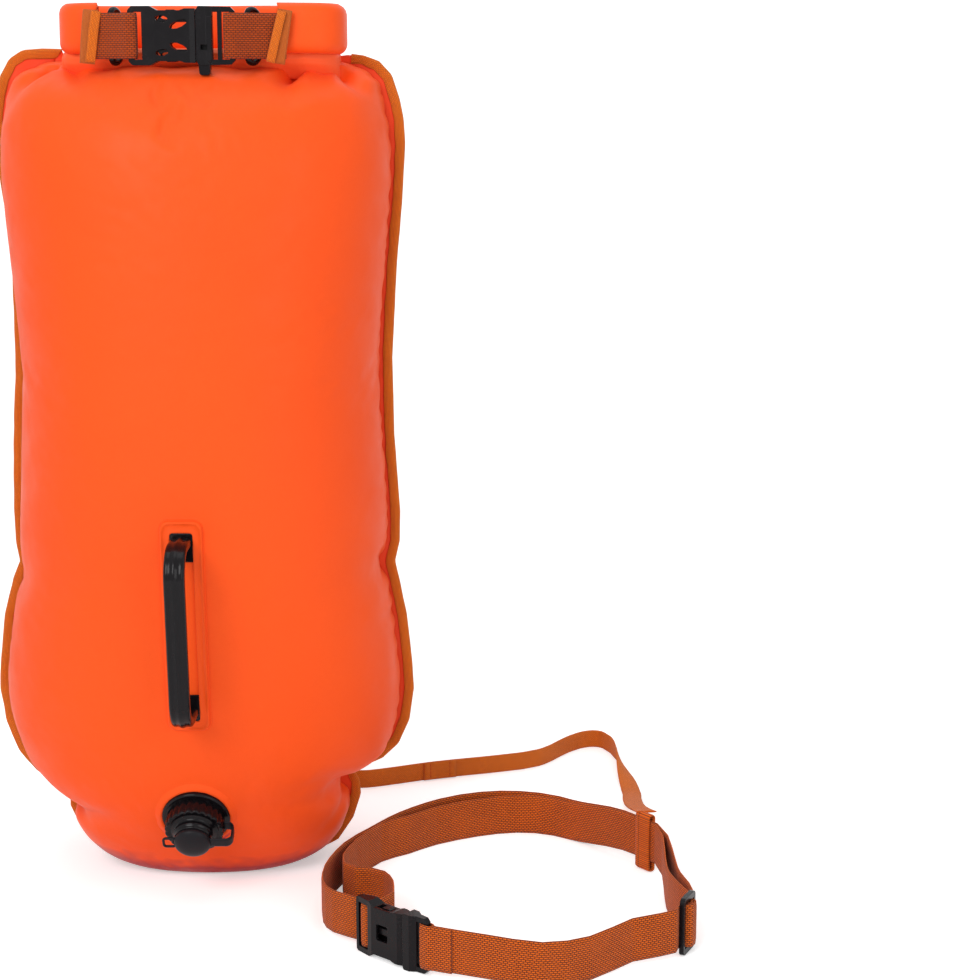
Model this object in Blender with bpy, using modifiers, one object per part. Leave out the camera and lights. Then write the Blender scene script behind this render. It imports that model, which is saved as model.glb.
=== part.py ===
"""Open water swim buoy: two air chambers, a roll-top neck, handles, valves and a waist belt.

The part stands on its two bottom lobes. The front faces -Y, +X is to the viewer's right and
+Z is up. The origin is on the buoy's middle, on the floor.
"""

import math

import bmesh
import bpy
from mathutils import Matrix, Vector

# Driving dimensions in metres
GAP = 0.0003

# The chambers' sections from the floor up: height, half width, depth
CHAMBER_STATIONS = (
    (0.000, 0.0600, 0.0400),
    (0.005, 0.0780, 0.0500),
    (0.016, 0.0940, 0.0600),
    (0.032, 0.1050, 0.0710),
    (0.052, 0.1105, 0.0825),
    (0.063, 0.1135, 0.0870),
    (0.073, 0.1250, 0.0910),
    (0.092, 0.1410, 0.0970),
    (0.140, 0.1520, 0.1070),
    (0.210, 0.1455, 0.1170),
    (0.240, 0.1420, 0.1195),
    (0.270, 0.1405, 0.1220),
    (0.330, 0.1370, 0.1245),
    (0.400, 0.1340, 0.1250),
    (0.520, 0.1435, 0.1185),
    (0.562, 0.1450, 0.1125),
    (0.588, 0.1420, 0.1020),
    (0.602, 0.1380, 0.0860),
    (0.612, 0.1290, 0.0610),
    (0.6175, 0.1160, 0.0400),
)
CHAMBER_RING_STEP = 0.040
CHAMBER_POWER = 2.3
CHAMBER_SIDE_STEPS = 8
CHAMBER_INNER_FACE = 0.0018
CHAMBER_FLAT_EDGE = 0.006
CHAMBER_SKIN = 0.0009

# Where the sides are drawn in: height, depth of the dent, half height of the dent
CREASES = ((0.063, 0.0085, 0.010), (0.240, 0.0035, 0.018))
CREASE_REACH = math.radians(32)
NOTCH_HEIGHT = 0.063
NOTCH_SPREAD = 0.030
NOTCH_SKEW = 0.007
FOOT_BLEND = 0.010

# The lower bulge leans to the left: how far, at what height, and over what spread
LEAN = 0.0043
LEAN_HEIGHT = 0.155
LEAN_SPREAD = 0.085

# Edge of the bag wall from the bottom up, on each side: distance from the middle, height
EDGE_RIGHT = (
    (0.005, 0.0040), (0.018, 0.0020), (0.050, 0.0020), (0.079, 0.0045), (0.0965, 0.0135),
    (0.1085, 0.0300), (0.1145, 0.0460), (0.1140, 0.0560), (0.1100, 0.0630), (0.1205, 0.0690),
    (0.1330, 0.0760), (0.1450, 0.0900), (0.1535, 0.1120), (0.1572, 0.1380), (0.1560, 0.1600),
    (0.1520, 0.1980), (0.1465, 0.2260), (0.1432, 0.2400), (0.1470, 0.2560), (0.1475, 0.2800),
    (0.1435, 0.3400), (0.1425, 0.4000), (0.1465, 0.4700), (0.1510, 0.5180), (0.1535, 0.5600),
    (0.1525, 0.5780), (0.1498, 0.5920), (0.1441, 0.6098), (0.1351, 0.6195), (0.1240, 0.6236),
    (0.1130, 0.6250),
)
EDGE_LEFT = (
    (0.005, 0.0040), (0.018, 0.0020), (0.050, 0.0020), (0.079, 0.0045), (0.0965, 0.0135),
    (0.1082, 0.0300), (0.1142, 0.0460), (0.1140, 0.0560), (0.1120, 0.0630), (0.1250, 0.0690),
    (0.1395, 0.0760), (0.1530, 0.0900), (0.1622, 0.1120), (0.1658, 0.1380), (0.1643, 0.1600),
    (0.1595, 0.1980), (0.1520, 0.2260), (0.1460, 0.2400), (0.1485, 0.2560), (0.1490, 0.2800),
    (0.1475, 0.3250), (0.1430, 0.4000), (0.1425, 0.4700), (0.1470, 0.5180), (0.1525, 0.5600),
    (0.1522, 0.5780), (0.1500, 0.5940), (0.1460, 0.6084), (0.1388, 0.6212), (0.1285, 0.6276),
    (0.1150, 0.6285), (0.1000, 0.6283),
)
BAG_THICKNESS = 0.0012
BAG_NECK_HALF_WIDTH = 0.098
BAG_NECK_TOP = 0.6230
BAG_MIDDLE_NOTCH = 0.0075

BINDING_REACH = 0.0065
BINDING_WEB = 0.0008
BINDING_WALL = 0.0006

# The rolled closure: its plan is a flat C that is open to the front
ROLL_BOTTOM = BAG_NECK_TOP + 0.0013
ROLL_CORE = 0.0100
ROLL_PITCH = 0.0022
ROLL_LAYER = 0.0016
ROLL_HALF_TURNS = 5.5
ROLL_ARC_POINTS = 4
ROLL_LEFT = -0.0855
ROLL_RIGHT = 0.1055
ROLL_FRONT = -0.0580
ROLL_LEFT_TIP = -0.0620
ROLL_RIGHT_TIP = 0.0660
ROLL_BEND = 0.020
STIFFENER_THICKNESS = 0.0015
ROLL_HINGE_HEIGHT = 0.6220

WEBBING = 0.0015
WIDE_WEBBING = 0.032
NARROW_WEBBING = 0.016
BAND_CORNER = 0.0010

# Side-release buckles, in a frame with +X along the strap and the mouth at zero
BUCKLE_THICKNESS = 0.011
HOUSING_LENGTH = 0.048
HOUSING_HALF_WIDTH = 0.0205
MOUTH_HALF_WIDTH = 0.0188
WAIST_HALF_WIDTH = 0.0175
CAVITY_DEPTH = 0.031
CAVITY_HALF_WIDTH = 0.0145
CAVITY_HALF_THICKNESS = 0.00325
SIDE_WINDOW_START = -0.0255
SIDE_WINDOW_END = -0.0126
STRAP_OPENING_HALF_WIDTH = 0.0165
OUTER_BAR_END = -0.0440
FIRST_SLOT_END = -0.0404
CENTRE_BAR_END = -0.0370
SECOND_SLOT_END = -0.0334
CENTRE_BAR_HALF_THICKNESS = 0.0015
SINGLE_SLOT_END = -0.0378
PLUG_LENGTH = 0.0220
PLUG_SLOT_START = 0.0120
PLUG_SLOT_END = 0.0180
WHISTLE_PLUG_LENGTH = 0.0278
WHISTLE_PLUG_SLOTS = ((0.0120, 0.0155), (0.0185, 0.0240))
TONGUE_LENGTH = 0.0240
TONGUE_HALF_WIDTH = 0.0023
TONGUE_THICKNESS = 0.0050
PRONG_THICKNESS = 0.0055
PRONG_PIVOT_X = -0.00125
PRONG_PIVOT_Z = 0.01075
PRONG_HALF_WIDTH = 0.00125

ROLL_BUCKLE_MOUTH = Vector((0.0100, -0.0745, 0.6370))
BELT_BUCKLE_LEFT = Vector((0.1240, -0.1870, HOUSING_HALF_WIDTH))
BELT_BUCKLE_DIRECTION = Vector((0.748, -0.664, 0.0)).normalized()

WHISTLE_START = 0.0006
WHISTLE_WIDTH = 0.0110
WHISTLE_TOP = 0.0135
WHISTLE_NECK = -0.0172
WHISTLE_BOTTOM = -0.0272
WHISTLE_CHANNEL = 0.0024

D_RING_WIRE = 0.0045
D_RING_HALF_HEIGHT = 0.01875
D_RING_DEPTH = 0.01775
D_RING_ARM = 0.0062
D_RING_PLACES = {
    "left": (Vector((-0.0515, -0.0660, 0.6370)), math.radians(72.5)),
    "right": (Vector((0.0455, -0.0660, 0.6370)), math.radians(60)),
}

# Handles and their patches
FITTING_X = -0.003
HANDLE_WIDTH = 0.0150
HANDLE_THICKNESS = 0.0080
HANDLE_TOP = 0.2815
HANDLE_BOTTOM = 0.1515
HANDLE_REACH = 0.0410
HANDLE_BEND = 0.020
PAD_HALF_WIDTH = 0.0120
PAD_HALF_HEIGHT = 0.0110
PAD_THICKNESS = 0.0015
PATCH_BOTTOM = 0.1360
PATCH_TOP = 0.2970
PATCH_HALF_WIDTH = 0.0155
PATCH_CORNER = 0.006
PATCH_SLOPE = 0.003
PATCH_THICKNESS = 0.0010
SLOT_BOTTOM = 0.1440
SLOT_TOP = 0.2880
SLOT_HALF_WIDTH = 0.00825

# Valves, in a frame with +Z along the valve's axis and the fabric at zero
VALVE_HEIGHT = 0.062
VALVE_TILT = math.radians(27)
VALVE_STEPS = 20
VALVE_FLANGE_RADIUS = 0.0255
VALVE_COLLAR_RADIUS = 0.0195
VALVE_STUB_RADIUS = 0.0142
VALVE_HOLE_RADIUS = 0.0150
VALVE_RING_RADIUS = 0.0220
VALVE_GRIP_SHARE = 0.966
VALVE_NECK_RADIUS = 0.0140
VALVE_BORE_RADIUS = 0.0085
VALVE_CAP_RADIUS = 0.0135
VALVE_PLUG_RADIUS = 0.0081
VALVE_HINGE_X = 0.0240
VALVE_HINGE_Z = 0.0243
TETHER_WIDTH = 0.0080
TETHER_THICKNESS = 0.0016

# The belt's route on the floor, in plan, from the buckle's plug round to its housing
BELT_ROUTE = (
    (0.193, -0.2410),
    (0.215, -0.2495),
    (0.252, -0.2570),
    (0.287, -0.2425),
    (0.318, -0.2190),
    (0.337, -0.2130),
)
BELT_ROUTE_TO_LOOP = (
    (0.3620, -0.1560),
    (0.3580, -0.1300),
    (0.3565, -0.0980),
    (0.3535, -0.0620),
)
BELT_ROUTE_AFTER_LOOP = (
    (0.3060, 0.0150),
    (0.2750, 0.0480),
    (0.2430, 0.0610),
    (0.2100, 0.0590),
    (0.1770, 0.0420),
    (0.1460, 0.0100),
    (0.1240, -0.0260),
    (0.1060, -0.0600),
    (0.0950, -0.1070),
    (0.0965, -0.1450),
    (0.1060, -0.1680),
)
TAIL_ROUTE_TO_LOOP = (
    (0.1490, -0.1730),
    (0.1480, -0.1500),
    (0.1410, -0.1270),
    (0.1310, -0.1170),
    (0.1190, -0.1140),
    (0.1090, -0.1020),
    (0.1070, -0.0860),
    (0.1150, -0.0530),
    (0.1320, -0.0170),
    (0.1530, 0.0010),
    (0.1750, 0.0220),
    (0.2080, 0.0410),
    (0.2400, 0.0500),
    (0.2700, 0.0430),
    (0.3000, 0.0150),
)
TAIL_ROUTE_AFTER_LOOP = (
    (0.3500, -0.0640),
    (0.3495, -0.0980),
    (0.3500, -0.1300),
    (0.3550, -0.1580),
)
SLIDER_PLACE = Vector((0.3575, -0.1915, 0.0210))
SLIDER_DIRECTION = Vector((0.42, 0.9075, 0.0)).normalized()
SLIDER_HEIGHT = 0.042
SLIDER_THICKNESS = 0.0035
SLIDER_OUTER_BAR = 0.0030
SLIDER_MIDDLE_BAR = 0.0035
SLIDER_SLOT = 0.0070
LEASH_LOOP_PLACE = Vector((0.3399, -0.0320, 0.0250))
LEASH_LOOP_DIRECTION = Vector((-0.62, 0.785, 0.0)).normalized()
LEASH_LOOP_HALF_HEIGHT = 0.0225
# Where the leash ends beside its loop: outward from the loop's middle, along the belt, height
LEASH_END = (0.0054, 0.0050, 0.0375)
# How far the belt stays raised on each side of a taller piece, and how long it takes to come down
BUCKLE_LEVEL = 0.055
SLIDER_LEVEL = 0.022
LOOP_LEVEL = 0.014
BELT_LIFT_REACH = 0.080
ROUTE_SPACING = 0.016

# The leash hangs on the back handle's lower leg, goes to the floor and on to the belt
LEASH_ROUTE = (
    (0.003, 0.1215, 0.1442),
    (0.003, 0.1230, 0.1330),
    (0.003, 0.1330, 0.1180),
    (0.004, 0.1500, 0.0960),
    (0.008, 0.1600, 0.0720),
    (0.018, 0.1690, 0.0450),
    (0.037, 0.1760, 0.0220),
    (0.060, 0.1760, 0.0115),
    (0.083, 0.1690, 0.0083),
    (0.109, 0.1620, 0.0083),
    (0.169, 0.1870, 0.0083),
    (0.227, 0.2060, 0.0083),
    (0.263, 0.2230, 0.0083),
    (0.290, 0.2620, 0.0083),
    (0.312, 0.2800, 0.0083),
    (0.329, 0.2600, 0.0083),
    (0.3400, 0.1570, 0.0083),
    (0.3385, 0.1100, 0.0110),
    (0.3370, 0.0600, 0.0210),
    (0.3375, 0.0150, 0.0320),
)

FABRIC = ("coated_fabric", (1.0, 0.085, 0.012), 0.42)
WOVEN = ("woven_webbing", (0.56, 0.13, 0.018), 0.85)
MOULDED = ("black_moulding", (0.012, 0.012, 0.014), 0.28)
RUBBER = ("black_rubber", (0.018, 0.018, 0.018), 0.55)


def new_collection(name):
    """An empty collection in the scene."""
    group = bpy.data.collections.new(name)
    bpy.context.scene.collection.children.link(group)
    return group


for old in list(bpy.data.objects):
    bpy.data.objects.remove(old, do_unlink=True)

PARTS = new_collection("swim_buoy")
CUTTERS = new_collection("cutters")
MATERIALS = {}


def material(look):
    """The Principled material of a look, made once."""
    name, colour, roughness = look
    if name not in MATERIALS:
        shader = bpy.data.materials.new(name)
        shader.use_nodes = True
        socket = shader.node_tree.nodes["Principled BSDF"].inputs
        socket["Base Color"].default_value = (*colour, 1.0)
        socket["Roughness"].default_value = roughness
        socket["Metallic"].default_value = 0.0
        shader.diffuse_color = (*colour, 1.0)
        MATERIALS[name] = shader
    return MATERIALS[name]


def add_object(name, mesh, look=None, place=None):
    """Link a mesh as a part, or as a cutter when it has no look."""
    thing = bpy.data.objects.new(name, mesh)
    if look:
        PARTS.objects.link(thing)
        mesh.materials.clear()
        mesh.materials.append(material(look))
    else:
        CUTTERS.objects.link(thing)
        thing.hide_render = True
        thing.display_type = "WIRE"
    if place is not None:
        thing.matrix_world = place
    return thing


def add_pivot(name, matrix):
    """An empty whose origin is on a joint or at the middle of an assembly."""
    pivot = bpy.data.objects.new(name, None)
    PARTS.objects.link(pivot)
    pivot.matrix_world = matrix
    return pivot


def frame_at(origin, along, up=Vector((0, 0, 1))):
    """A matrix with +X along a direction and +Z up."""
    x_axis = along.normalized()
    y_axis = up.cross(x_axis).normalized()
    z_axis = x_axis.cross(y_axis)
    matrix = Matrix((x_axis, y_axis, z_axis)).transposed().to_4x4()
    matrix.translation = origin
    return matrix


def close_mesh(mesh):
    """Weld a mesh and turn its faces outward."""
    work = bmesh.new()
    work.from_mesh(mesh)
    bmesh.ops.remove_doubles(work, verts=work.verts, dist=1e-6)
    bmesh.ops.recalc_face_normals(work, faces=work.faces)
    work.to_mesh(mesh)
    work.free()
    return mesh


def evaluated_mesh(thing):
    """The mesh that an object shows, after which the object is removed."""
    bpy.context.view_layer.update()
    mesh = bpy.data.meshes.new_from_object(thing.evaluated_get(bpy.context.evaluated_depsgraph_get()))
    bpy.data.objects.remove(thing, do_unlink=True)
    return mesh


def add_spline(curve, points, cyclic):
    """A straight-sided spline through points."""
    spline = curve.splines.new("POLY")
    spline.points.add(len(points) - 1)
    for point, place in zip(spline.points, points):
        point.co = (place[0], place[1], place[2] if len(place) > 2 else 0.0, 1.0)
    spline.use_cyclic_u = cyclic


def swept_mesh(name, path, profile, cyclic=False, flat=False):
    """Carry a closed profile along a path: profile x is right of the way, profile y is up."""
    outline = bpy.data.curves.new(name + "_profile", "CURVE")
    outline.dimensions = "2D"
    outline.fill_mode = "NONE"
    add_spline(outline, profile, True)
    guide = bpy.data.objects.new(name + "_profile", outline)
    CUTTERS.objects.link(guide)
    rail = bpy.data.curves.new(name, "CURVE")
    rail.dimensions = "2D" if flat else "3D"
    rail.twist_mode = "Z_UP"
    rail.bevel_mode = "OBJECT"
    rail.bevel_object = guide
    rail.use_fill_caps = not cyclic
    add_spline(rail, path, cyclic)
    carrier = bpy.data.objects.new(name, rail)
    CUTTERS.objects.link(carrier)
    mesh = evaluated_mesh(carrier)
    bpy.data.objects.remove(guide, do_unlink=True)
    return close_mesh(mesh)


def plate_mesh(name, outlines, thickness):
    """Flat outlines in the XY plane, the later ones as holes, with a thickness along Z."""
    sheet = bpy.data.curves.new(name, "CURVE")
    sheet.dimensions = "2D"
    sheet.fill_mode = "BOTH"
    sheet.extrude = thickness / 2
    for outline in outlines:
        add_spline(sheet, outline, True)
    carrier = bpy.data.objects.new(name, sheet)
    CUTTERS.objects.link(carrier)
    return close_mesh(evaluated_mesh(carrier))


def turned_mesh(name, profile, steps, closed=False):
    """Turn a profile of radius and height pairs round the Z axis."""
    mesh = bpy.data.meshes.new(name)
    count = len(profile)
    edges = [(i, i + 1) for i in range(count - 1)]
    if closed:
        edges.append((count - 1, 0))
    mesh.from_pydata([(radius, 0.0, height) for radius, height in profile], edges, [])
    carrier = bpy.data.objects.new(name, mesh)
    CUTTERS.objects.link(carrier)
    screw = carrier.modifiers.new("turn", "SCREW")
    screw.steps = steps
    screw.render_steps = steps
    screw.use_merge_vertices = True
    screw.merge_threshold = 0.00001
    return close_mesh(evaluated_mesh(carrier))


def box_mesh(name, low, high):
    """A box between two corners."""
    work = bmesh.new()
    bmesh.ops.create_cube(work, size=1.0)
    size = [b - a for a, b in zip(low, high)]
    middle = [(a + b) / 2 for a, b in zip(low, high)]
    bmesh.ops.scale(work, vec=size, verts=work.verts)
    bmesh.ops.translate(work, vec=middle, verts=work.verts)
    mesh = bpy.data.meshes.new(name)
    work.to_mesh(mesh)
    work.free()
    return mesh


def cut(thing, cutter, operation="DIFFERENCE"):
    """Cut a part with a cutter, or join them, and keep the modifier."""
    boolean = thing.modifiers.new(operation.lower(), "BOOLEAN")
    boolean.operation = operation
    boolean.solver = "EXACT"
    boolean.object = cutter


def shade_round(thing, angle=40):
    """Shade a round piece smooth but keep its corners."""
    thing.data.shade_smooth()
    thing.data.set_sharp_from_angle(angle=math.radians(angle))


def filleted(points, radius, steps):
    """A path through corner points, with each inner corner rounded to an arc."""
    route = [Vector(points[0])]
    for before, corner, after in zip(points, points[1:], points[2:]):
        before, corner, after = Vector(before), Vector(corner), Vector(after)
        to_before = (before - corner).normalized()
        to_after = (after - corner).normalized()
        half = to_before.angle(to_after) / 2
        reach = radius / math.tan(half)
        middle = corner + (to_before + to_after).normalized() * radius / math.sin(half)
        start = corner + to_before * reach - middle
        end = corner + to_after * reach - middle
        sweep = start.angle(end)
        for step in range(steps + 1):
            share = step / steps
            blend = start * math.sin((1 - share) * sweep) + end * math.sin(share * sweep)
            route.append(middle + blend / math.sin(sweep))
    route.append(Vector(points[-1]))
    return route


def smooth_route(points, spacing):
    """Points about evenly spaced on a smooth curve through a route's own points."""
    route = [Vector(point) for point in points]
    line = []
    for i in range(len(route) - 1):
        before = route[max(i - 1, 0)]
        low, high = route[i], route[i + 1]
        after = route[min(i + 2, len(route) - 1)]
        steps = max(1, round((high - low).length / spacing))
        for step in range(steps):
            t = step / steps
            pull = (high - before) * (t - 2 * t ** 2 + t ** 3) / 2
            push = (after - low) * (t ** 3 - t ** 2) / 2
            line.append(low * (1 - 3 * t ** 2 + 2 * t ** 3) + high * (3 * t ** 2 - 2 * t ** 3) + pull + push)
    line.append(route[-1])
    return line


def strip_profile(thickness, width):
    """Section of webbing that stands on its edge."""
    half, tall = thickness / 2, width / 2
    return [(-half, -tall), (-half, tall), (half, tall), (half, -tall)]


def rounded_rectangle(half_width, half_height, radius, steps=3, middle=(0.0, 0.0)):
    """Outline of a rectangle with round corners."""
    points = []
    for quarter, (sign_x, sign_y) in enumerate(((1, 1), (-1, 1), (-1, -1), (1, -1))):
        for step in range(steps + 1):
            angle = math.pi / 2 * (quarter + step / steps)
            points.append((
                middle[0] + sign_x * (half_width - radius) + radius * math.cos(angle),
                middle[1] + sign_y * (half_height - radius) + radius * math.sin(angle),
            ))
    return points


def ellipse(half_length, half_width, angle, middle, steps):
    """Outline of an oval hole that is turned by an angle."""
    points = []
    for step in range(steps):
        turn = math.tau * step / steps
        along, across = half_length * math.cos(turn), half_width * math.sin(turn)
        points.append((
            middle[0] + along * math.cos(angle) - across * math.sin(angle),
            middle[1] + along * math.sin(angle) + across * math.cos(angle),
        ))
    return points


def chamber_section(height):
    """Half width and depth of a chamber at a height, on a cubic through the stations."""
    last = len(CHAMBER_STATIONS) - 1
    index = 0
    while index < last - 1 and height > CHAMBER_STATIONS[index + 1][0]:
        index += 1
    before, after = CHAMBER_STATIONS[max(index - 1, 0)], CHAMBER_STATIONS[min(index + 2, last)]
    low, high = CHAMBER_STATIONS[index], CHAMBER_STATIONS[index + 1]
    span = high[0] - low[0]
    t = (height - low[0]) / span
    values = []
    for column in (1, 2):
        rise = (high[column] - before[column]) / (high[0] - before[0]) * span
        fall = (after[column] - low[column]) / (after[0] - low[0]) * span
        value = low[column] * (1 - 3 * t ** 2 + 2 * t ** 3) + high[column] * (3 * t ** 2 - 2 * t ** 3)
        values.append(value + rise * (t - 2 * t ** 2 + t ** 3) + fall * (t ** 3 - t ** 2))
    return values


def chamber_heights():
    """Heights of the chamber's rings: each station, and evenly between far ones."""
    heights = []
    for low, high in zip(CHAMBER_STATIONS, CHAMBER_STATIONS[1:]):
        steps = math.ceil((high[0] - low[0]) / CHAMBER_RING_STEP)
        heights += [low[0] + (high[0] - low[0]) * step / steps for step in range(steps)]
    return heights + [CHAMBER_STATIONS[-1][0]]


def skew(x, z):
    """How far a point moves up or down because the right notch sits above the left one."""
    side = max(-1.0, min(1.0, x / 0.12))
    return NOTCH_SKEW * side * math.exp(-((z - NOTCH_HEIGHT) / NOTCH_SPREAD) ** 2) * min(1.0, z / FOOT_BLEND)


def lean(z):
    """How far the chambers stand to the side at a height."""
    return -LEAN * math.exp(-((z - LEAN_HEIGHT) / LEAN_SPREAD) ** 2)


def skin_depth(x, z):
    """Distance of the chamber's outer face from the middle plane."""
    half_width, depth = chamber_section(z)
    share = 1 - (abs(x - lean(z)) / half_width) ** CHAMBER_POWER
    return CHAMBER_INNER_FACE + (depth - CHAMBER_INNER_FACE) * share ** (1 / CHAMBER_POWER)


def chamber_mesh(name, swell, side):
    """Closed loft of the chamber's rings, for the front (side 1) or the back (side -1)."""
    exponent = 2 / CHAMBER_POWER
    rings = []
    work = bmesh.new()
    for height in chamber_heights():
        half_width, depth = chamber_section(height)
        half_width += swell
        depth += swell
        ring = []
        for step in range(2 * CHAMBER_SIDE_STEPS + 1):
            share = step / CHAMBER_SIDE_STEPS
            quarter = min(share, 2 - share) ** 1.25
            angle = math.pi / 2 * quarter
            sign = 1 if step <= CHAMBER_SIDE_STEPS else -1
            dent = sum(
                dip * math.exp(-((height - level) / spread) ** 2) for level, dip, spread in CREASES
            ) * math.exp(-(angle / CREASE_REACH) ** 2)
            x = sign * (half_width - dent) * abs(math.cos(angle)) ** exponent
            y = CHAMBER_INNER_FACE + (depth - CHAMBER_INNER_FACE) * math.sin(angle) ** exponent
            ring.append((x, y))
        inner = ring[0][0] - CHAMBER_FLAT_EDGE
        ring += [(-inner, CHAMBER_INNER_FACE), (0.0, CHAMBER_INNER_FACE), (inner, CHAMBER_INNER_FACE)]
        shift = lean(height)
        rings.append([work.verts.new((x + shift, -side * y, height + skew(x, height))) for x, y in ring])
    for low, high in zip(rings, rings[1:]):
        for i, corner in enumerate(low):
            work.faces.new((corner, low[i - 1], high[i - 1], high[i]))
    work.faces.new(rings[0])
    work.faces.new(reversed(rings[-1]))
    bmesh.ops.recalc_face_normals(work, faces=work.faces)
    mesh = bpy.data.meshes.new(name)
    work.to_mesh(mesh)
    work.free()
    return mesh


def valve_frame(side):
    """Frame of a valve: +Z out of the fabric, +X to the right of someone facing the valve."""
    middle = side * FITTING_X
    origin = Vector((middle, -side * skin_depth(middle, VALVE_HEIGHT), VALVE_HEIGHT))
    outward = Vector((0, -side * math.cos(VALVE_TILT), -math.sin(VALVE_TILT)))
    x_axis = Vector((side, 0, 0))
    matrix = Matrix((x_axis, outward.cross(x_axis), outward)).transposed().to_4x4()
    matrix.translation = origin
    return matrix


def make_chamber(label, side):
    """One air chamber: a thin shell with the valve's hole in it."""
    shell = add_object(label + "_chamber", chamber_mesh(label + "_chamber", 0.0, side), FABRIC)
    wall = shell.modifiers.new("wall", "SOLIDIFY")
    wall.thickness = CHAMBER_SKIN
    wall.offset = -1
    drill = turned_mesh("valve_hole", [(0, 0.008), (VALVE_HOLE_RADIUS, 0.008),
                                       (VALVE_HOLE_RADIUS, -0.012), (0, -0.012)], VALVE_STEPS)
    hole = add_object("valve_hole_" + label, drill, place=valve_frame(side))
    cut(shell, hole)
    shade_round(shell)


def right_edge():
    """The bag wall's edge on the right side with the notch's skew."""
    return [(x, z + skew(x, z)) for x, z in EDGE_RIGHT]


def left_edge():
    """The edge on the left side, from the neck down."""
    return [(-x, z + skew(-x, z)) for x, z in reversed(EDGE_LEFT)]


UPRIGHT = Matrix.Rotation(math.radians(90), 4, "X")


def make_bag_wall():
    """The wall between the chambers, from the notch at the bottom to the neck."""
    neck = [(BAG_NECK_HALF_WIDTH, BAG_NECK_TOP), (-BAG_NECK_HALF_WIDTH, BAG_NECK_TOP)]
    outline = right_edge() + neck + left_edge() + [(0.0, BAG_MIDDLE_NOTCH)]
    add_object("dry_bag", plate_mesh("dry_bag", [outline], BAG_THICKNESS), FABRIC, place=UPRIGHT)


def make_bindings():
    """Folded tape over the wall's edge, one on each side."""
    inner = BAG_THICKNESS / 2 + GAP
    outer = inner + BINDING_WALL
    reach = -BINDING_REACH
    rim = GAP + BINDING_WEB
    profile = [(reach, inner), (GAP, inner), (GAP, -inner), (reach, -inner),
               (reach, -outer), (rim, -outer), (rim, outer), (reach, outer)]
    for name, edge in (("binding_right", right_edge()), ("binding_left", left_edge())):
        tape = add_object(name, swept_mesh(name, edge, profile, flat=True), WOVEN, place=UPRIGHT)
        shade_round(tape)


def roll_plan():
    """Plan of the roll's middle line, from its left tip to its right tip."""
    return filleted([
        (ROLL_LEFT_TIP, ROLL_FRONT, 0), (ROLL_LEFT, ROLL_FRONT, 0), (ROLL_LEFT, 0, 0),
        (ROLL_RIGHT, 0, 0), (ROLL_RIGHT, ROLL_FRONT, 0), (ROLL_RIGHT_TIP, ROLL_FRONT, 0),
    ], ROLL_BEND, 3)


def spiral_outline():
    """Section of the rolled fabric: a flattened spiral round the stiffener."""
    first = STIFFENER_THICKNESS / 2 + GAP + ROLL_LAYER / 2
    outer, inner = [], []
    for half in range(math.ceil(ROLL_HALF_TURNS)):
        centre = ROLL_CORE if half % 2 == 0 else -ROLL_CORE
        length = min(1.0, ROLL_HALF_TURNS - half)
        for point in range(ROLL_ARC_POINTS):
            angle = math.pi * (half + length * point / (ROLL_ARC_POINTS - 1))
            radius = first + ROLL_PITCH * angle / math.tau
            for line, reach in ((outer, radius + ROLL_LAYER / 2), (inner, radius - ROLL_LAYER / 2)):
                line.append((reach * math.cos(angle), centre + reach * math.sin(angle)))
    return outer + inner[::-1]


def make_roll(body):
    """The rolled closure with the stiffener in its middle."""
    section = spiral_outline()
    lift = ROLL_BOTTOM - min(height for _, height in section)
    path = [(p.x, p.y, 0) for p in roll_plan()]
    section = [(x, z + lift) for x, z in section]
    roll = add_object("roll", swept_mesh("roll", path, section), FABRIC)
    shade_round(roll)
    strip = [(x, z + lift) for x, z in strip_profile(STIFFENER_THICKNESS, 2 * ROLL_CORE)]
    stiffener = add_object("roll_stiffener", swept_mesh("roll_stiffener", path, strip), RUBBER)
    for piece in (roll, stiffener):
        hang(piece, body)


def hang(thing, parent):
    """Parent a piece and keep its place in the world."""
    bpy.context.view_layer.update()
    thing.parent = parent
    thing.matrix_parent_inverse = parent.matrix_world.inverted()


def crossed(name, plan, side, look, frame):
    """A moulding that has one outline in plan (X, Z) and another from its side (X, Y)."""
    tall = 4 * HOUSING_HALF_WIDTH
    body = plate_mesh(name, [plan], tall)
    body.transform(Matrix.Rotation(math.radians(90), 4, "X"))
    piece = add_object(name, body, look)
    profile = add_object(name + "_side", plate_mesh(name + "_side", [side], tall))
    cut(piece, profile, "INTERSECT")
    for thing in (piece, profile):
        thing.matrix_world = frame
    return piece


def mirrored(points):
    """Points of one half and the same points on the other side, in order round the outline."""
    return list(points) + [(x, -y) for x, y in reversed(points)]


def pierce(piece, name, frame, meshes):
    """Cut a piece with several meshes given in its frame."""
    for number, mesh in enumerate(meshes):
        cut(piece, add_object(f"{name}_{number}", mesh, place=frame))


def through_holes(name, outlines):
    """Cutters through the thickness of a buckle from outlines in X and Z."""
    tools = []
    for outline in outlines:
        tool = plate_mesh(name, [outline], 4 * BUCKLE_THICKNESS)
        tool.transform(Matrix.Rotation(math.radians(90), 4, "X"))
        tools.append(tool)
    return tools


# Ovals in the roll buckle's faces: half length, half width, turn, and place in X and Z
INNER_OVAL = (0.0047, 0.0023, math.radians(-8), (-0.0234, 0.0116))
OUTER_OVAL = (0.0066, 0.0025, math.radians(22), (-0.0116, 0.0080))
# The waist buckle's window: half length, half width, corner, and place in X and Z
SQUARE_WINDOW = (0.0055, 0.0060, 0.0012, 2, (-0.0185, 0.0))


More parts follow.
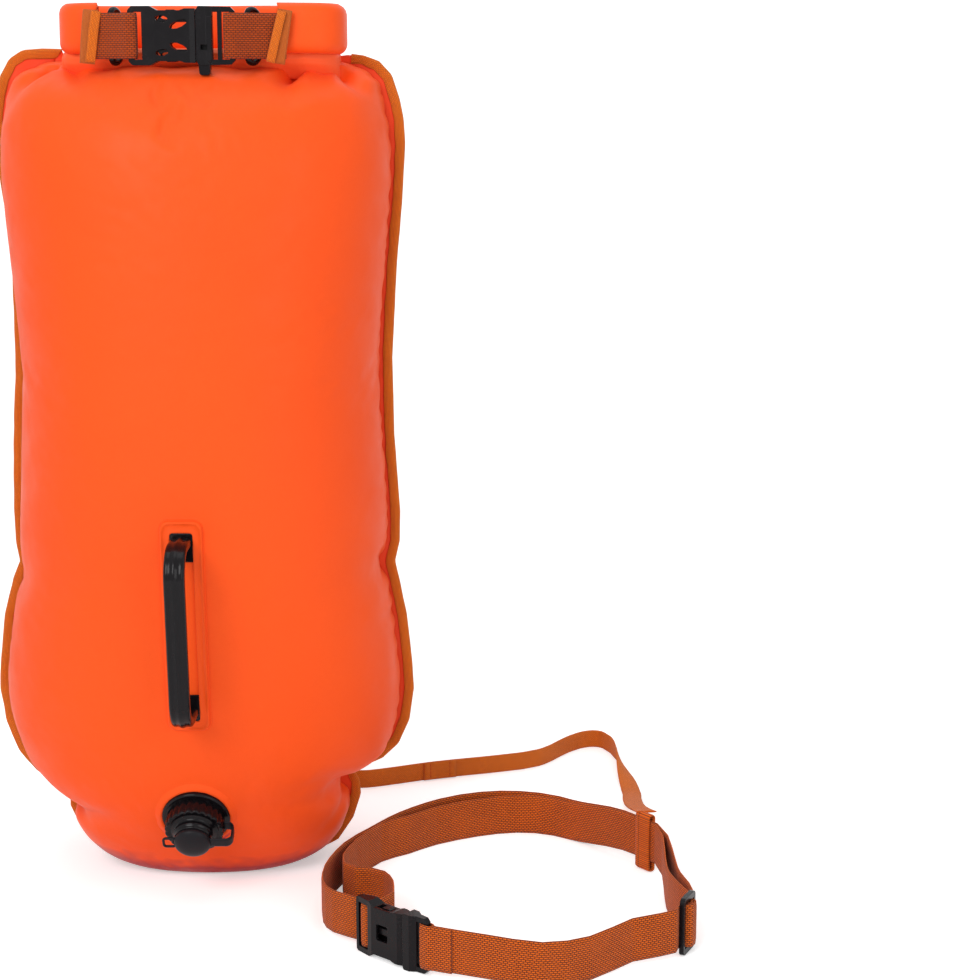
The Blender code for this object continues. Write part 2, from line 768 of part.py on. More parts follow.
def housing_windows(kind):
    """Outlines of the holes in a housing's faces: two pairs of ovals, or one square window."""
    if kind == "belt":
        return [rounded_rectangle(*SQUARE_WINDOW)]
    ovals = []
    for half_length, half_width, angle, place in (INNER_OVAL, OUTER_OVAL):
        for sign in (1, -1):
            middle = (place[0], sign * place[1])
            ovals.append(ellipse(half_length, half_width, sign * angle, middle, 10))
    return ovals


def make_housing(name, kind, frame):
    """The socket half: a hollow box with side windows, and one or two slots for webbing."""
    half = BUCKLE_THICKNESS / 2
    plan = mirrored([
        (-HOUSING_LENGTH, HOUSING_HALF_WIDTH - 0.003),
        (-HOUSING_LENGTH + 0.003, HOUSING_HALF_WIDTH),
        (-0.0320, HOUSING_HALF_WIDTH),
        (-0.0265, WAIST_HALF_WIDTH),
        (-0.0110, WAIST_HALF_WIDTH),
        (-0.0070, MOUTH_HALF_WIDTH),
        (0.0, MOUTH_HALF_WIDTH),
    ])
    side = mirrored([
        (-HOUSING_LENGTH, 0.0012),
        (-HOUSING_LENGTH + 0.0015, 0.0025),
        (OUTER_BAR_END, 0.0027),
        (SECOND_SLOT_END, 0.0046),
        (-0.0290, half),
        (-0.0040, half),
        (0.0, half - 0.0012),
    ])
    piece = crossed(name, plan, side, MOULDED, frame)
    wide = STRAP_OPENING_HALF_WIDTH
    bar = CENTRE_BAR_HALF_THICKNESS
    tools = [
        box_mesh("cavity", (-CAVITY_DEPTH, -CAVITY_HALF_THICKNESS, -CAVITY_HALF_WIDTH),
                 (0.005, CAVITY_HALF_THICKNESS, CAVITY_HALF_WIDTH)),
        box_mesh("side_windows", (SIDE_WINDOW_START, -CAVITY_HALF_THICKNESS, -0.03),
                 (SIDE_WINDOW_END, CAVITY_HALF_THICKNESS, 0.03)),
    ]
    if kind == "belt":
        tools += [
            box_mesh("first_slot", (OUTER_BAR_END, -0.02, -wide), (FIRST_SLOT_END, 0.02, wide)),
            box_mesh("second_slot", (CENTRE_BAR_END, -0.02, -wide), (SECOND_SLOT_END, 0.02, wide)),
            box_mesh("front_trough", (FIRST_SLOT_END - 0.001, -0.02, -wide),
                     (CENTRE_BAR_END + 0.001, -bar, wide)),
            box_mesh("back_trough", (FIRST_SLOT_END - 0.001, bar, -wide),
                     (CENTRE_BAR_END + 0.001, 0.02, wide)),
        ]
    else:
        tools.append(box_mesh("slot", (OUTER_BAR_END, -0.02, -wide), (SINGLE_SLOT_END, 0.02, wide)))
    pierce(piece, name + "_cut", frame, tools + through_holes("window", housing_windows(kind)))
    return piece


def make_plug(name, frame, whistle):
    """The prong half's base, with its guide tongue and strap bar, and a whistle on one."""
    half = BUCKLE_THICKNESS / 2
    length = WHISTLE_PLUG_LENGTH if whistle else PLUG_LENGTH
    slots = WHISTLE_PLUG_SLOTS if whistle else ((PLUG_SLOT_START, PLUG_SLOT_END),)
    plan = mirrored([
        (GAP, 0.0172),
        (0.0025, HOUSING_HALF_WIDTH),
        (length - 0.003, HOUSING_HALF_WIDTH - 0.0005),
        (length, HOUSING_HALF_WIDTH - 0.0035),
    ])
    side = mirrored([
        (GAP, half - 0.0008),
        (0.0016, half),
        (0.0075, half),
        (PLUG_SLOT_START, 0.0026),
        (length - 0.0006, 0.0020),
        (length, 0.0012),
    ])
    piece = crossed(name, plan, side, MOULDED, frame)
    tongue = box_mesh("tongue", (-TONGUE_LENGTH, -TONGUE_THICKNESS / 2, -TONGUE_HALF_WIDTH),
                      (0.003, TONGUE_THICKNESS / 2, TONGUE_HALF_WIDTH))
    cut(piece, add_object(name + "_tongue", tongue, place=frame), "UNION")
    wide = STRAP_OPENING_HALF_WIDTH
    tools = [box_mesh("slot", (low, -0.02, -wide), (high, 0.02, wide)) for low, high in slots]
    if whistle:
        add_whistle(piece, name, frame)
        left = WHISTLE_START + WHISTLE_WIDTH / 2 - WHISTLE_CHANNEL
        right = left + 2 * WHISTLE_CHANNEL
        tools += [
            box_mesh("mouth", (left, -0.0022, WHISTLE_BOTTOM - 0.01), (right, 0.0016, -0.0060)),
            box_mesh("sound_window", (left, -0.02, -0.0100), (right, 0.0, -0.0062)),
        ]
    pierce(piece, name + "_cut", frame, tools)
    return piece


def add_whistle(piece, name, frame):
    """A flat whistle along the mouth side of the plug, with its mouthpiece below."""
    half = BUCKLE_THICKNESS / 2
    left_side = [
        (0.0, WHISTLE_TOP), (0.0, WHISTLE_NECK), (0.0013, WHISTLE_NECK - 0.0012),
        (0.0018, WHISTLE_BOTTOM + 0.0010), (0.0028, WHISTLE_BOTTOM),
    ]
    outline = [(WHISTLE_START + x, z) for x, z in left_side]
    outline += [(WHISTLE_START + WHISTLE_WIDTH - x, z) for x, z in reversed(left_side)]
    depth = mirrored([
        (WHISTLE_TOP, half - 0.0003),
        (WHISTLE_NECK, half - 0.0003),
        (WHISTLE_NECK - 0.0020, 0.0043),
        (WHISTLE_BOTTOM - 0.001, 0.0036),
    ])
    body = plate_mesh("whistle", [outline], 4 * BUCKLE_THICKNESS)
    body.transform(Matrix.Rotation(math.radians(90), 4, "X"))
    tube = add_object(name + "_whistle", body, place=frame)
    taper = plate_mesh("whistle_side", [depth], 0.05)
    taper.transform(Matrix.Rotation(math.radians(-90), 4, "Y"))
    cut(tube, add_object(name + "_whistle_side", taper, place=frame), "INTERSECT")
    cut(piece, tube, "UNION")


# A prong's hole: half length, half width, turn, and place in X and Z
PRONG_HOLE = (0.0040, 0.0018, math.radians(-8), (-0.0212, 0.0132))


def prong_outline():
    """The upper spring arm in X and Z about its pivot: a rounded root, an arm and a barb."""
    points = []
    for step in range(5):
        angle = math.radians(-90 + 180 * step / 4)
        points.append((PRONG_HALF_WIDTH * math.cos(angle), PRONG_HALF_WIDTH * math.sin(angle)))
    for x, z in ((-0.0129, 0.0122), (-0.0132, 0.0176), (-0.0148, 0.0181), (-0.0200, 0.0181),
                 (-0.0222, 0.0170), (-0.0268, 0.0110), (-0.0270, 0.0098), (-0.0262, 0.0095)):
        points.append((x - PRONG_PIVOT_X, z - PRONG_PIVOT_Z))
    return points


def make_prongs(prefix, frame, plug):
    """The two spring arms, each on its own pivot."""
    for label, sign in (("upper", 1), ("lower", -1)):
        place = frame @ Matrix.Translation((PRONG_PIVOT_X, 0, sign * PRONG_PIVOT_Z))
        half_length, half_width, turn, spot = PRONG_HOLE
        spot = (spot[0] - PRONG_PIVOT_X, spot[1] - PRONG_PIVOT_Z)
        hole = ellipse(half_length, half_width, turn, spot, 10)
        outlines = [[(x, sign * z) for x, z in line] for line in (prong_outline(), hole)]
        arm = plate_mesh(f"{prefix}_prong_{label}", outlines, PRONG_THICKNESS)
        arm.transform(Matrix.Rotation(math.radians(90), 4, "X"))
        close_mesh(arm)
        hang(add_object(f"{prefix}_prong_{label}", arm, MOULDED, place=place), plug)


def in_frame(frame, points):
    """Plan points of a frame as world points."""
    return [frame @ Vector((x, y, 0.0)) for x, y in points]


# How webbing threads a housing and how it is folded round a plug's bar, in the buckle's frame
HOUSING_THREAD = (
    (-0.0490, 0.00355), (-0.0436, 0.00355), (-0.0422, 0.0025), (-0.0422, -0.0015),
    (-0.0408, -0.00255), (-0.0366, -0.00255), (-0.0352, -0.0015),
)
PLUG_FOLD = (
    (0.0260, -0.0009), (0.0224, -0.00305), (0.0164, -0.00305), (0.0150, -0.0020),
    (0.0150, 0.0020), (0.0164, 0.00305), (0.0224, 0.00305), (0.0260, 0.0009),
)
WHISTLE_PLUG_FOLD = (
    (0.0282, -0.00305), (0.0216, -0.00305), (0.0202, -0.0020),
    (0.0202, 0.0020), (0.0216, 0.00305), (0.0282, 0.00305),
)
OUTER_BAR_FOLD = (
    (-0.0490, 0.0038), (-0.0436, 0.0038), (-0.0422, 0.0027),
    (-0.0422, -0.0027), (-0.0436, -0.0038), (-0.0490, -0.0038),
)


def make_strip(name, points, width, body=None):
    """Webbing that stands on its edge along a route."""
    mesh = swept_mesh(name, [tuple(p) for p in points], strip_profile(WEBBING, width))
    strip = add_object(name, mesh, WOVEN)
    if body:
        hang(strip, body)
    return strip


def make_roll_straps(frame, body):
    """Webbing from each tip of the roll to the buckle, doubled round a D-ring."""
    height = ROLL_BUCKLE_MOUTH.z
    sewn = ROLL_FRONT - 0.0090
    pitch = WEBBING + GAP
    folds = [[p.xy for p in in_frame(frame, fold)] for fold in (OUTER_BAR_FOLD, WHISTLE_PLUG_FOLD)]
    left = [(-0.0775, sewn), (-0.0580, sewn), (-0.0553, -0.0640), (-0.0530, -0.0620),
            (-0.0500, -0.0618), (-0.0470, -0.0640), (-0.0430, -0.0680)]
    left += folds[0]
    left += [(-0.0440, -0.0755), (-0.0530, -0.0716), (-0.0655, sewn - pitch), (-0.0775, sewn - pitch)]
    right = [(0.0810, sewn - pitch), (0.0655, sewn - pitch), (0.0500, -0.0716), (0.0430, -0.0750)]
    right += folds[1]
    right += [(0.0400, -0.0680), (0.0415, -0.0640), (0.0443, -0.0618), (0.0475, -0.0618),
              (0.0510, -0.0640), (0.0575, -0.0668), (0.0655, sewn), (0.0810, sewn)]
    for name, route in (("roll_strap_left", left), ("roll_strap_right", right)):
        make_strip(name, [Vector((x, y, height)) for x, y in route], WIDE_WEBBING, body)


def make_d_ring(label, body):
    """A wire ring with a straight bar on its joint's axis and a bow behind it."""
    place, direction = D_RING_PLACES[label]
    bar = D_RING_HALF_HEIGHT - 0.0022
    points = [(0.0, -bar), (0.0, bar), (0.0006, D_RING_HALF_HEIGHT - 0.0006)]
    bow = D_RING_DEPTH - D_RING_ARM
    for step in range(7):
        angle = math.radians(90 - 30 * step)
        points.append((D_RING_ARM + bow * math.cos(angle), D_RING_HALF_HEIGHT * math.sin(angle)))
    points.append((0.0006, -D_RING_HALF_HEIGHT + 0.0006))
    wire = bpy.data.curves.new("d_ring_" + label, "CURVE")
    wire.dimensions = "3D"
    wire.bevel_depth = D_RING_WIRE / 2
    wire.bevel_resolution = 1
    add_spline(wire, [(x, 0.0, z) for x, z in points], True)
    carrier = bpy.data.objects.new("d_ring_" + label, wire)
    CUTTERS.objects.link(carrier)
    mesh = close_mesh(evaluated_mesh(carrier))
    turn = Matrix.Translation(place) @ Matrix.Rotation(direction, 4, "Z")
    ring = add_object("d_ring_" + label, mesh, MOULDED, place=turn)
    shade_round(ring, 60)
    hang(ring, body)


def drape(mesh, side, lift):
    """Lay a flat mesh in X and Z on the chamber's outer face, raised by a function of x and z."""
    for corner in mesh.vertices:
        x, z = corner.co.x, corner.co.z
        corner.co.y = -(skin_depth(side * (x + FITTING_X), z) + lift(x, z))
    turn = Matrix.Translation((FITTING_X, 0, 0))
    if side < 0:
        turn = Matrix.Rotation(math.pi, 4, "Z") @ turn
    mesh.transform(turn)


def flat_sheet(name, outlines, cuts_x, cuts_z):
    """A filled flat outline in X and Z, divided along lines so that it can bend."""
    mesh = plate_mesh(name, outlines, 0.0)
    work = bmesh.new()
    work.from_mesh(mesh)
    for axis, places in ((0, cuts_x), (1, cuts_z)):
        for place in places:
            point = [0.0, 0.0, 0.0]
            normal = [0.0, 0.0, 0.0]
            point[axis] = place
            normal[axis] = 1.0
            everything = list(work.verts) + list(work.edges) + list(work.faces)
            bmesh.ops.bisect_plane(work, geom=everything, plane_co=point, plane_no=normal, dist=1e-6)
    bmesh.ops.remove_doubles(work, verts=work.verts, dist=1e-6)
    bmesh.ops.recalc_face_normals(work, faces=work.faces)
    work.to_mesh(mesh)
    work.free()
    mesh.transform(Matrix.Rotation(math.radians(90), 4, "X"))
    return mesh


def thicken(thing, thickness):
    """Give an open sheet its thickness, outward from the buoy."""
    wall = thing.modifiers.new("thickness", "SOLIDIFY")
    wall.thickness = thickness
    wall.offset = 1
    wall.use_even_offset = False


def face_outward(mesh, side):
    """Turn a sheet's faces away from the buoy."""
    work = bmesh.new()
    work.from_mesh(mesh)
    if sum(face.normal.y * face.calc_area() for face in work.faces) * side > 0:
        bmesh.ops.reverse_faces(work, faces=work.faces)
    work.to_mesh(mesh)
    work.free()


def bend_lines(low, high):
    """Heights at which a sheet on the chamber has to bend."""
    return [height for height in chamber_heights() if low < height < high]


def make_patch(label, side):
    """The welded patch over the handle's two pads, with a slot for the handle."""
    middle = (PATCH_BOTTOM + PATCH_TOP) / 2
    half_height = (PATCH_TOP - PATCH_BOTTOM) / 2
    outer = rounded_rectangle(PATCH_HALF_WIDTH, half_height, PATCH_CORNER, 3, (0.0, middle))
    slot = rounded_rectangle(SLOT_HALF_WIDTH, (SLOT_TOP - SLOT_BOTTOM) / 2, 0.002, 2,
                             (0.0, (SLOT_TOP + SLOT_BOTTOM) / 2))
    rim = PATCH_HALF_WIDTH - PATCH_SLOPE
    levels = bend_lines(PATCH_BOTTOM, PATCH_TOP)
    levels += [PATCH_BOTTOM + PATCH_SLOPE, PATCH_TOP - PATCH_SLOPE]
    mesh = flat_sheet("handle_patch_" + label, [outer, slot], (-rim, 0.0, rim), levels)

    def lift(x, z):
        """Gap under the patch: small at its edge and enough for the pads inside it."""
        across = abs(x) - (PATCH_HALF_WIDTH - PATCH_CORNER)
        along = abs(z - middle) - (half_height - PATCH_CORNER)
        outside = math.hypot(max(across, 0.0), max(along, 0.0)) + min(max(across, along), 0.0)
        inside = PATCH_CORNER - outside
        return GAP + (PAD_THICKNESS + 2 * GAP) * min(1.0, max(0.0, inside / PATCH_SLOPE))

    drape(mesh, side, lift)
    face_outward(mesh, side)
    patch = add_object("handle_patch_" + label, mesh, FABRIC)
    thicken(patch, PATCH_THICKNESS)


def make_handle(label, side):
    """A moulded strap that arches out of the slot, with a pad at each end."""
    middle = side * FITTING_X
    top_root = skin_depth(middle, HANDLE_TOP) + GAP + PAD_THICKNESS / 2
    low_root = skin_depth(middle, HANDLE_BOTTOM) + GAP + PAD_THICKNESS / 2
    path = filleted([
        (top_root, HANDLE_TOP, 0), (top_root + HANDLE_REACH, HANDLE_TOP, 0),
        (low_root + HANDLE_REACH, HANDLE_BOTTOM, 0), (low_root, HANDLE_BOTTOM, 0),
    ], HANDLE_BEND, 4)
    half, wide = HANDLE_THICKNESS / 2, HANDLE_WIDTH / 2
    section = [(half, -wide + 0.0025), (half, wide - 0.0025), (half - 0.0025, wide), (-half, wide),
               (-half, -wide), (half - 0.0025, -wide)]
    section = [(-across, along) for across, along in section]
    mesh = swept_mesh("handle_" + label, [tuple(p) for p in path], section, flat=True)
    # The path's own x is the distance out of the middle plane and its y is the height
    turn = Matrix(((0, 0, 1, FITTING_X), (-1, 0, 0, 0), (0, 1, 0, 0), (0, 0, 0, 1)))
    if side < 0:
        turn = Matrix.Rotation(math.pi, 4, "Z") @ turn
    mesh.transform(turn)
    close_mesh(mesh)
    handle = add_object("handle_" + label, mesh, MOULDED)
    for number, height in enumerate((HANDLE_TOP - 0.004, HANDLE_BOTTOM + 0.002)):
        outline = rounded_rectangle(PAD_HALF_WIDTH, PAD_HALF_HEIGHT, 0.003, 2, (0.0, height))
        levels = bend_lines(height - PAD_HALF_HEIGHT, height + PAD_HALF_HEIGHT)
        sheet = flat_sheet("pad", [outline], (0.0,), levels)
        drape(sheet, side, lambda x, z: GAP)
        face_outward(sheet, side)
        pad = add_object(f"handle_{label}_pad_{number}", sheet)
        thicken(pad, PAD_THICKNESS)
        cut(handle, pad, "UNION")
    shade_round(handle)


def make_valve(label, side):
    """Flange and collar, flap, screwed ring, plug cap and tether of one valve."""
    frame = valve_frame(side)
    socket = add_pivot("valve_frame_" + label, frame)
    collar = turned_mesh("valve_collar", [
        (VALVE_COLLAR_RADIUS, 0.0090), (VALVE_COLLAR_RADIUS, 0.0026), (0.0246, 0.0022),
        (VALVE_FLANGE_RADIUS, 0.0012), (VALVE_FLANGE_RADIUS, -0.0060), (0.0100, -0.0060),
        (0.0100, 0.0052), (0.0130, 0.0052), (0.0130, 0.0090),
    ], VALVE_STEPS, closed=True)
    base = add_object("valve_base_" + label, collar, MOULDED, place=frame)
    seat = add_object("valve_seat_" + label, chamber_mesh("valve_seat", GAP, side))
    cut(base, seat)
    tube = turned_mesh("valve_stub", [
        (VALVE_STUB_RADIUS, 0.0020), (VALVE_STUB_RADIUS, -0.0070), (0.0100, -0.0070), (0.0100, 0.0020),
    ], VALVE_STEPS, closed=True)
    cut(base, add_object("valve_stub_" + label, tube, place=frame), "UNION")
    flap = turned_mesh("valve_flap", [(0, 0.0065), (0.0122, 0.0065), (0.0122, 0.0055), (0, 0.0055)],
                       VALVE_STEPS)
    flap = add_object("valve_flap_" + label, flap, RUBBER, place=frame)
    ring = turned_mesh("valve_body", [
        (VALVE_RING_RADIUS - 0.0008, 0.0150), (VALVE_RING_RADIUS, 0.0142), (VALVE_RING_RADIUS, 0.0034),
        (VALVE_RING_RADIUS - 0.0008, 0.0026), (0.0198, 0.0029), (0.0198, 0.0093), (0.0120, 0.0093),
        (0.0120, 0.0140), (VALVE_BORE_RADIUS, 0.0140), (VALVE_BORE_RADIUS, 0.0240),
        (VALVE_NECK_RADIUS - 0.0006, 0.0240), (VALVE_NECK_RADIUS, 0.0234), (VALVE_NECK_RADIUS, 0.0150),
    ], VALVE_STEPS, closed=True)
    for corner in ring.vertices:
        radius = math.hypot(corner.co.x, corner.co.y)
        tooth = round(math.atan2(corner.co.y, corner.co.x) / math.tau * VALVE_STEPS)
        if radius > VALVE_RING_RADIUS - 0.0001 and tooth % 2:
            corner.co.x *= VALVE_GRIP_SHARE
            corner.co.y *= VALVE_GRIP_SHARE
    ring = add_object("valve_body_" + label, ring, MOULDED, place=frame)
    lid = turned_mesh("valve_cap", [
        (0, 0.0313), (0.0070, 0.0309), (0.0115, 0.0296), (VALVE_CAP_RADIUS, 0.0272),
        (VALVE_CAP_RADIUS, VALVE_HINGE_Z), (VALVE_PLUG_RADIUS, VALVE_HINGE_Z),
        (VALVE_PLUG_RADIUS, 0.0205), (0, 0.0205),
    ], VALVE_STEPS)
    hinge = add_pivot("valve_cap_pivot_" + label,
                      frame @ Matrix.Translation((VALVE_HINGE_X, 0, VALVE_HINGE_Z)))
    lid = add_object("valve_cap_" + label, lid, MOULDED, place=frame)
    tab = plate_mesh("valve_tab", [
        [(-0.0120, -0.0050), (-0.0190, -0.0050), (-0.0222, -0.0025), (-0.0222, 0.0025),
         (-0.0190, 0.0050), (-0.0120, 0.0050)],
        rounded_rectangle(0.0018, 0.0028, 0.0012, 2, (-0.0178, 0.0)),
    ], 0.0018)
    lug = plate_mesh("valve_lug", [rounded_rectangle(0.0035, TETHER_WIDTH / 2, 0.001, 1, (0.0150, 0.0))],
                     0.0018)
    for number, mesh in enumerate((tab, lug)):
        tool = add_object(f"valve_cap_{label}_lug_{number}", mesh,
                          place=frame @ Matrix.Translation((0, 0, 0.0257)))
        cut(lid, tool, "UNION")
    path = filleted([(0.0223, 0.0085, 0), (0.0290, 0.0085, 0), (0.0290, 0.0257, 0), (0.0188, 0.0257, 0)],
                    0.0045, 3)
    half = TETHER_THICKNESS / 2
    wide = TETHER_WIDTH / 2
    strap = swept_mesh("valve_tether", [tuple(p) for p in path],
                       [(-half, -wide), (-half, wide), (half, wide), (half, -wide)], flat=True)
    strap.transform(Matrix.Rotation(math.radians(90), 4, "X"))
    close_mesh(strap)
    tether = add_object("valve_tether_" + label, strap, RUBBER, place=frame)
    for piece in (base, flap, ring, tether, hinge):
        hang(piece, socket)
    hang(lid, hinge)
    for piece in (base, flap, ring, lid, tether):
        shade_round(piece)


def belt_lift(x, y):
    """Height of the belt's middle: on the floor, but raised by the taller pieces on it."""
    middle = WIDE_WEBBING / 2
    lift = 0.0
    buckle = belt_frame().translation
    tall_pieces = ((buckle, BUCKLE_LEVEL), (SLIDER_PLACE, SLIDER_LEVEL), (LEASH_LOOP_PLACE, LOOP_LEVEL))
    for place, level in tall_pieces:
        distance = math.hypot(x - place.x, y - place.y) - level
        share = max(0.0, 1.0 - max(0.0, distance) / BELT_LIFT_REACH)
        lift = max(lift, (place.z - middle) * share ** 2 * (3 - 2 * share))
    return middle + lift


def belt_frame():
    """Frame of the belt's buckle, at its mouth."""
    mouth = BELT_BUCKLE_LEFT + BELT_BUCKLE_DIRECTION * HOUSING_LENGTH
    return frame_at(mouth, BELT_BUCKLE_DIRECTION)


# How the belt's two layers pass the leash's loop, in the loop's frame
LOOP_MAIN = ((-0.012, 0.0), (0.012, 0.0))
LOOP_TAIL = ((0.012, WEBBING + GAP), (-0.012, WEBBING + GAP))

# How the belt and its folded-back layer pass the slider's three bars, in the slider's frame
SLIDER_MAIN = (
    (-0.0180, 0.0018), (-0.0120, 0.0028), (-0.0080, 0.0028), (-0.0058, -0.0010), (-0.0050, -0.0038),
    (-0.0036, -0.0050), (0.0036, -0.0050), (0.0050, -0.0038), (0.0058, -0.0010), (0.0080, 0.0028),
    (0.0120, 0.0028), (0.0180, 0.0018),
)
SLIDER_TAIL = (
    (0.0180, 0.0062), (0.0120, 0.0049), (0.0076, 0.0047), (0.0046, 0.0022), (0.0029, -0.0002),
    (0.0029, -0.0029), (-0.0029, -0.0029), (-0.0029, 0.0020), (-0.0016, 0.0030), (0.0008, 0.0030),
)


def raised(points):
    """Plan points at the height of the belt's middle."""
    return [Vector((p[0], p[1], belt_lift(p[0], p[1]))) for p in points]


def joined_route(stretches):
    """Plan points of a route that alternates fixed stretches with smooth ones between them."""
    plan = list(stretches[0])
    for between, fixed in zip(stretches[1::2], stretches[2::2]):
        ends = [plan[-1].xy] + [Vector(point) for point in between] + [fixed[0].xy]
        plan += smooth_route(ends, ROUTE_SPACING)[1:-1] + list(fixed)
    return plan


def make_belt():
    """The belt's webbing, its folded-back layer, its buckle and its slider."""
    buckle = belt_frame()
    slider = frame_at(SLIDER_PLACE, SLIDER_DIRECTION)
    loop = frame_at(LEASH_LOOP_PLACE, LEASH_LOOP_DIRECTION)
    fold = in_frame(buckle, PLUG_FOLD)
    sewn_end = fold[0].xy + Vector(BELT_ROUTE[0]) - fold[-1].xy
    main = joined_route([
        [sewn_end] + fold, BELT_ROUTE, in_frame(slider, SLIDER_MAIN), BELT_ROUTE_TO_LOOP,
        in_frame(loop, LOOP_MAIN), BELT_ROUTE_AFTER_LOOP, in_frame(buckle, HOUSING_THREAD),
    ])
    make_strip("belt_webbing", raised(main), WIDE_WEBBING)
    tail = joined_route([
        in_frame(buckle, ((-0.0352, -0.0008), (-0.0352, 0.0062))), TAIL_ROUTE_TO_LOOP,
        in_frame(loop, LOOP_TAIL), TAIL_ROUTE_AFTER_LOOP, in_frame(slider, SLIDER_TAIL),
    ])
    make_strip("belt_tail", raised(tail), WIDE_WEBBING)
    make_housing("belt_buckle_housing", "belt", buckle)
    plug = make_plug("belt_buckle_plug", buckle, whistle=False)
    make_prongs("belt", buckle, plug)
    length = 2 * SLIDER_OUTER_BAR + 2 * SLIDER_SLOT + SLIDER_MIDDLE_BAR
    outline = rounded_rectangle(length / 2, SLIDER_HEIGHT / 2, 0.0035, 3)
    slots = []
    for sign in (1, -1):
        place = sign * (SLIDER_MIDDLE_BAR + SLIDER_SLOT) / 2
        slots.append(rounded_rectangle(SLIDER_SLOT / 2, STRAP_OPENING_HALF_WIDTH, 0.0003, 1, (place, 0.0)))
    plate = plate_mesh("belt_slider", [outline] + slots, SLIDER_THICKNESS)
    plate.transform(Matrix.Rotation(math.radians(90), 4, "X"))
    close_mesh(plate)
    add_object("belt_slider", plate, MOULDED, place=slider)


def band(name, half_width, half_height, frame):
    """A closed loop of narrow webbing in the frame's XY plane."""
    path = rounded_rectangle(half_width, half_height, BAND_CORNER, 2)
    mesh = swept_mesh(name, path, strip_profile(WEBBING, NARROW_WEBBING), cyclic=True, flat=True)
    loop = add_object(name, mesh, WOVEN, place=frame)
    shade_round(loop)


def make_leash():
    """The leash's free stretch, its loop on the handle and its loop on the belt."""
    room = GAP + WEBBING / 2
    along = LEASH_LOOP_DIRECTION
    inward = Vector((0, 0, 1)).cross(along)
    loop_half_width = WEBBING + 1.5 * GAP + WEBBING / 2
    centre = LEASH_LOOP_PLACE + inward * (WEBBING + GAP) / 2
    centre.z = LEASH_LOOP_HALF_HEIGHT + WEBBING / 2
    axes = Matrix((inward, Vector((0, 0, 1)), inward.cross(Vector((0, 0, 1))))).transposed().to_4x4()
    axes.translation = centre
    band("leash_belt_loop", loop_half_width, LEASH_LOOP_HALF_HEIGHT, axes)
    outward, beside, height = LEASH_END
    end = centre - inward * outward + along * beside
    route = [Vector(p) for p in LEASH_ROUTE] + [Vector((end.x, end.y, height))]
    make_strip("leash", smooth_route(route, ROUTE_SPACING), NARROW_WEBBING)
    hitch = Matrix.Rotation(math.radians(90), 4, "X")
    hitch.translation = Vector((-FITTING_X, LEASH_ROUTE[0][1], HANDLE_BOTTOM))
    band("leash_hitch", HANDLE_WIDTH / 2 + room, HANDLE_THICKNESS / 2 + room, hitch)


def make_closure():
    """The roll, its buckle, straps and D-rings, all on the neck's fold line."""
    body = add_pivot("roll_pivot", Matrix.Translation((0, 0, ROLL_HINGE_HEIGHT)))
    make_roll(body)
    frame = Matrix.Translation(ROLL_BUCKLE_MOUTH)
    hang(make_housing("roll_buckle_housing", "roll", frame), body)
    plug = make_plug("roll_buckle_plug", frame, whistle=True)
    make_prongs("roll", frame, plug)
    hang(plug, body)
    make_roll_straps(frame, body)
    for label in D_RING_PLACES:
        make_d_ring(label, body)


for chamber_label, chamber_side in (("front", 1), ("back", -1)):
    make_chamber(chamber_label, chamber_side)
    make_handle(chamber_label, chamber_side)
    make_patch(chamber_label, chamber_side)
    make_valve(chamber_label, chamber_side)
make_bag_wall()
make_bindings()
make_closure()
make_belt()
make_leash()
bpy.context.view_layer.update()
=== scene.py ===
import math

import bmesh
import bpy
import numpy as np
from mathutils import Matrix, Vector, noise
from mathutils.bvhtree import BVHTree


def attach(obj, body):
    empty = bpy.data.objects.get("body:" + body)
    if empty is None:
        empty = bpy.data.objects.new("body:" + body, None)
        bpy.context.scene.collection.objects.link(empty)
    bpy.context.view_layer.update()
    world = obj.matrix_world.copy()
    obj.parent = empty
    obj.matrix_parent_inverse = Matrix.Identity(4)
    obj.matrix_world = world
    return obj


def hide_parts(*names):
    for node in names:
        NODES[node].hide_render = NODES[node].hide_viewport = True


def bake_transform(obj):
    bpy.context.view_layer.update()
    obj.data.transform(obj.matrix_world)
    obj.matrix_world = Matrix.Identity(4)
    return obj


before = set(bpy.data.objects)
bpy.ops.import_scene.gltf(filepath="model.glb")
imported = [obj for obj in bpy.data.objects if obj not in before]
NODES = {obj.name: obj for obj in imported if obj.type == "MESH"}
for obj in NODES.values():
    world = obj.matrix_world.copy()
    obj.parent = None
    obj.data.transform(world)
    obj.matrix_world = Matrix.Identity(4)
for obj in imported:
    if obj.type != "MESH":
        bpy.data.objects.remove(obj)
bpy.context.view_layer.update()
UP = Vector((0, 0, 1))

# The camera stands a little to the right of the buoy and looks slightly down, as in the photo
CAMERA_PLACE = (0.218, -1.6, 0.6)
CAMERA_PITCH = math.radians(90 - 10.76)
CAMERA_LENS_MM = 77.5
SENSOR_MM = 36.0

# The leash's own route, as in the part's source, with its last points led on to the loop
LEASH_ROUTE = (
    (0.003, 0.1215, 0.1442), (0.003, 0.1230, 0.1330), (0.003, 0.1330, 0.1180),
    (0.004, 0.1500, 0.0960), (0.008, 0.1600, 0.0720), (0.018, 0.1690, 0.0450),
    (0.037, 0.1760, 0.0220), (0.060, 0.1760, 0.0115), (0.083, 0.1690, 0.0083),
    (0.109, 0.1620, 0.0083), (0.169, 0.1870, 0.0083), (0.227, 0.2060, 0.0083),
    (0.263, 0.2230, 0.0083), (0.290, 0.2620, 0.0083), (0.312, 0.2800, 0.0083),
    (0.329, 0.2600, 0.0083), (0.3400, 0.1570, 0.0083), (0.3385, 0.1100, 0.0110),
    (0.3370, 0.0600, 0.0210), (0.3375, 0.0150, 0.0320), (0.3401, -0.0300, 0.0375),
)
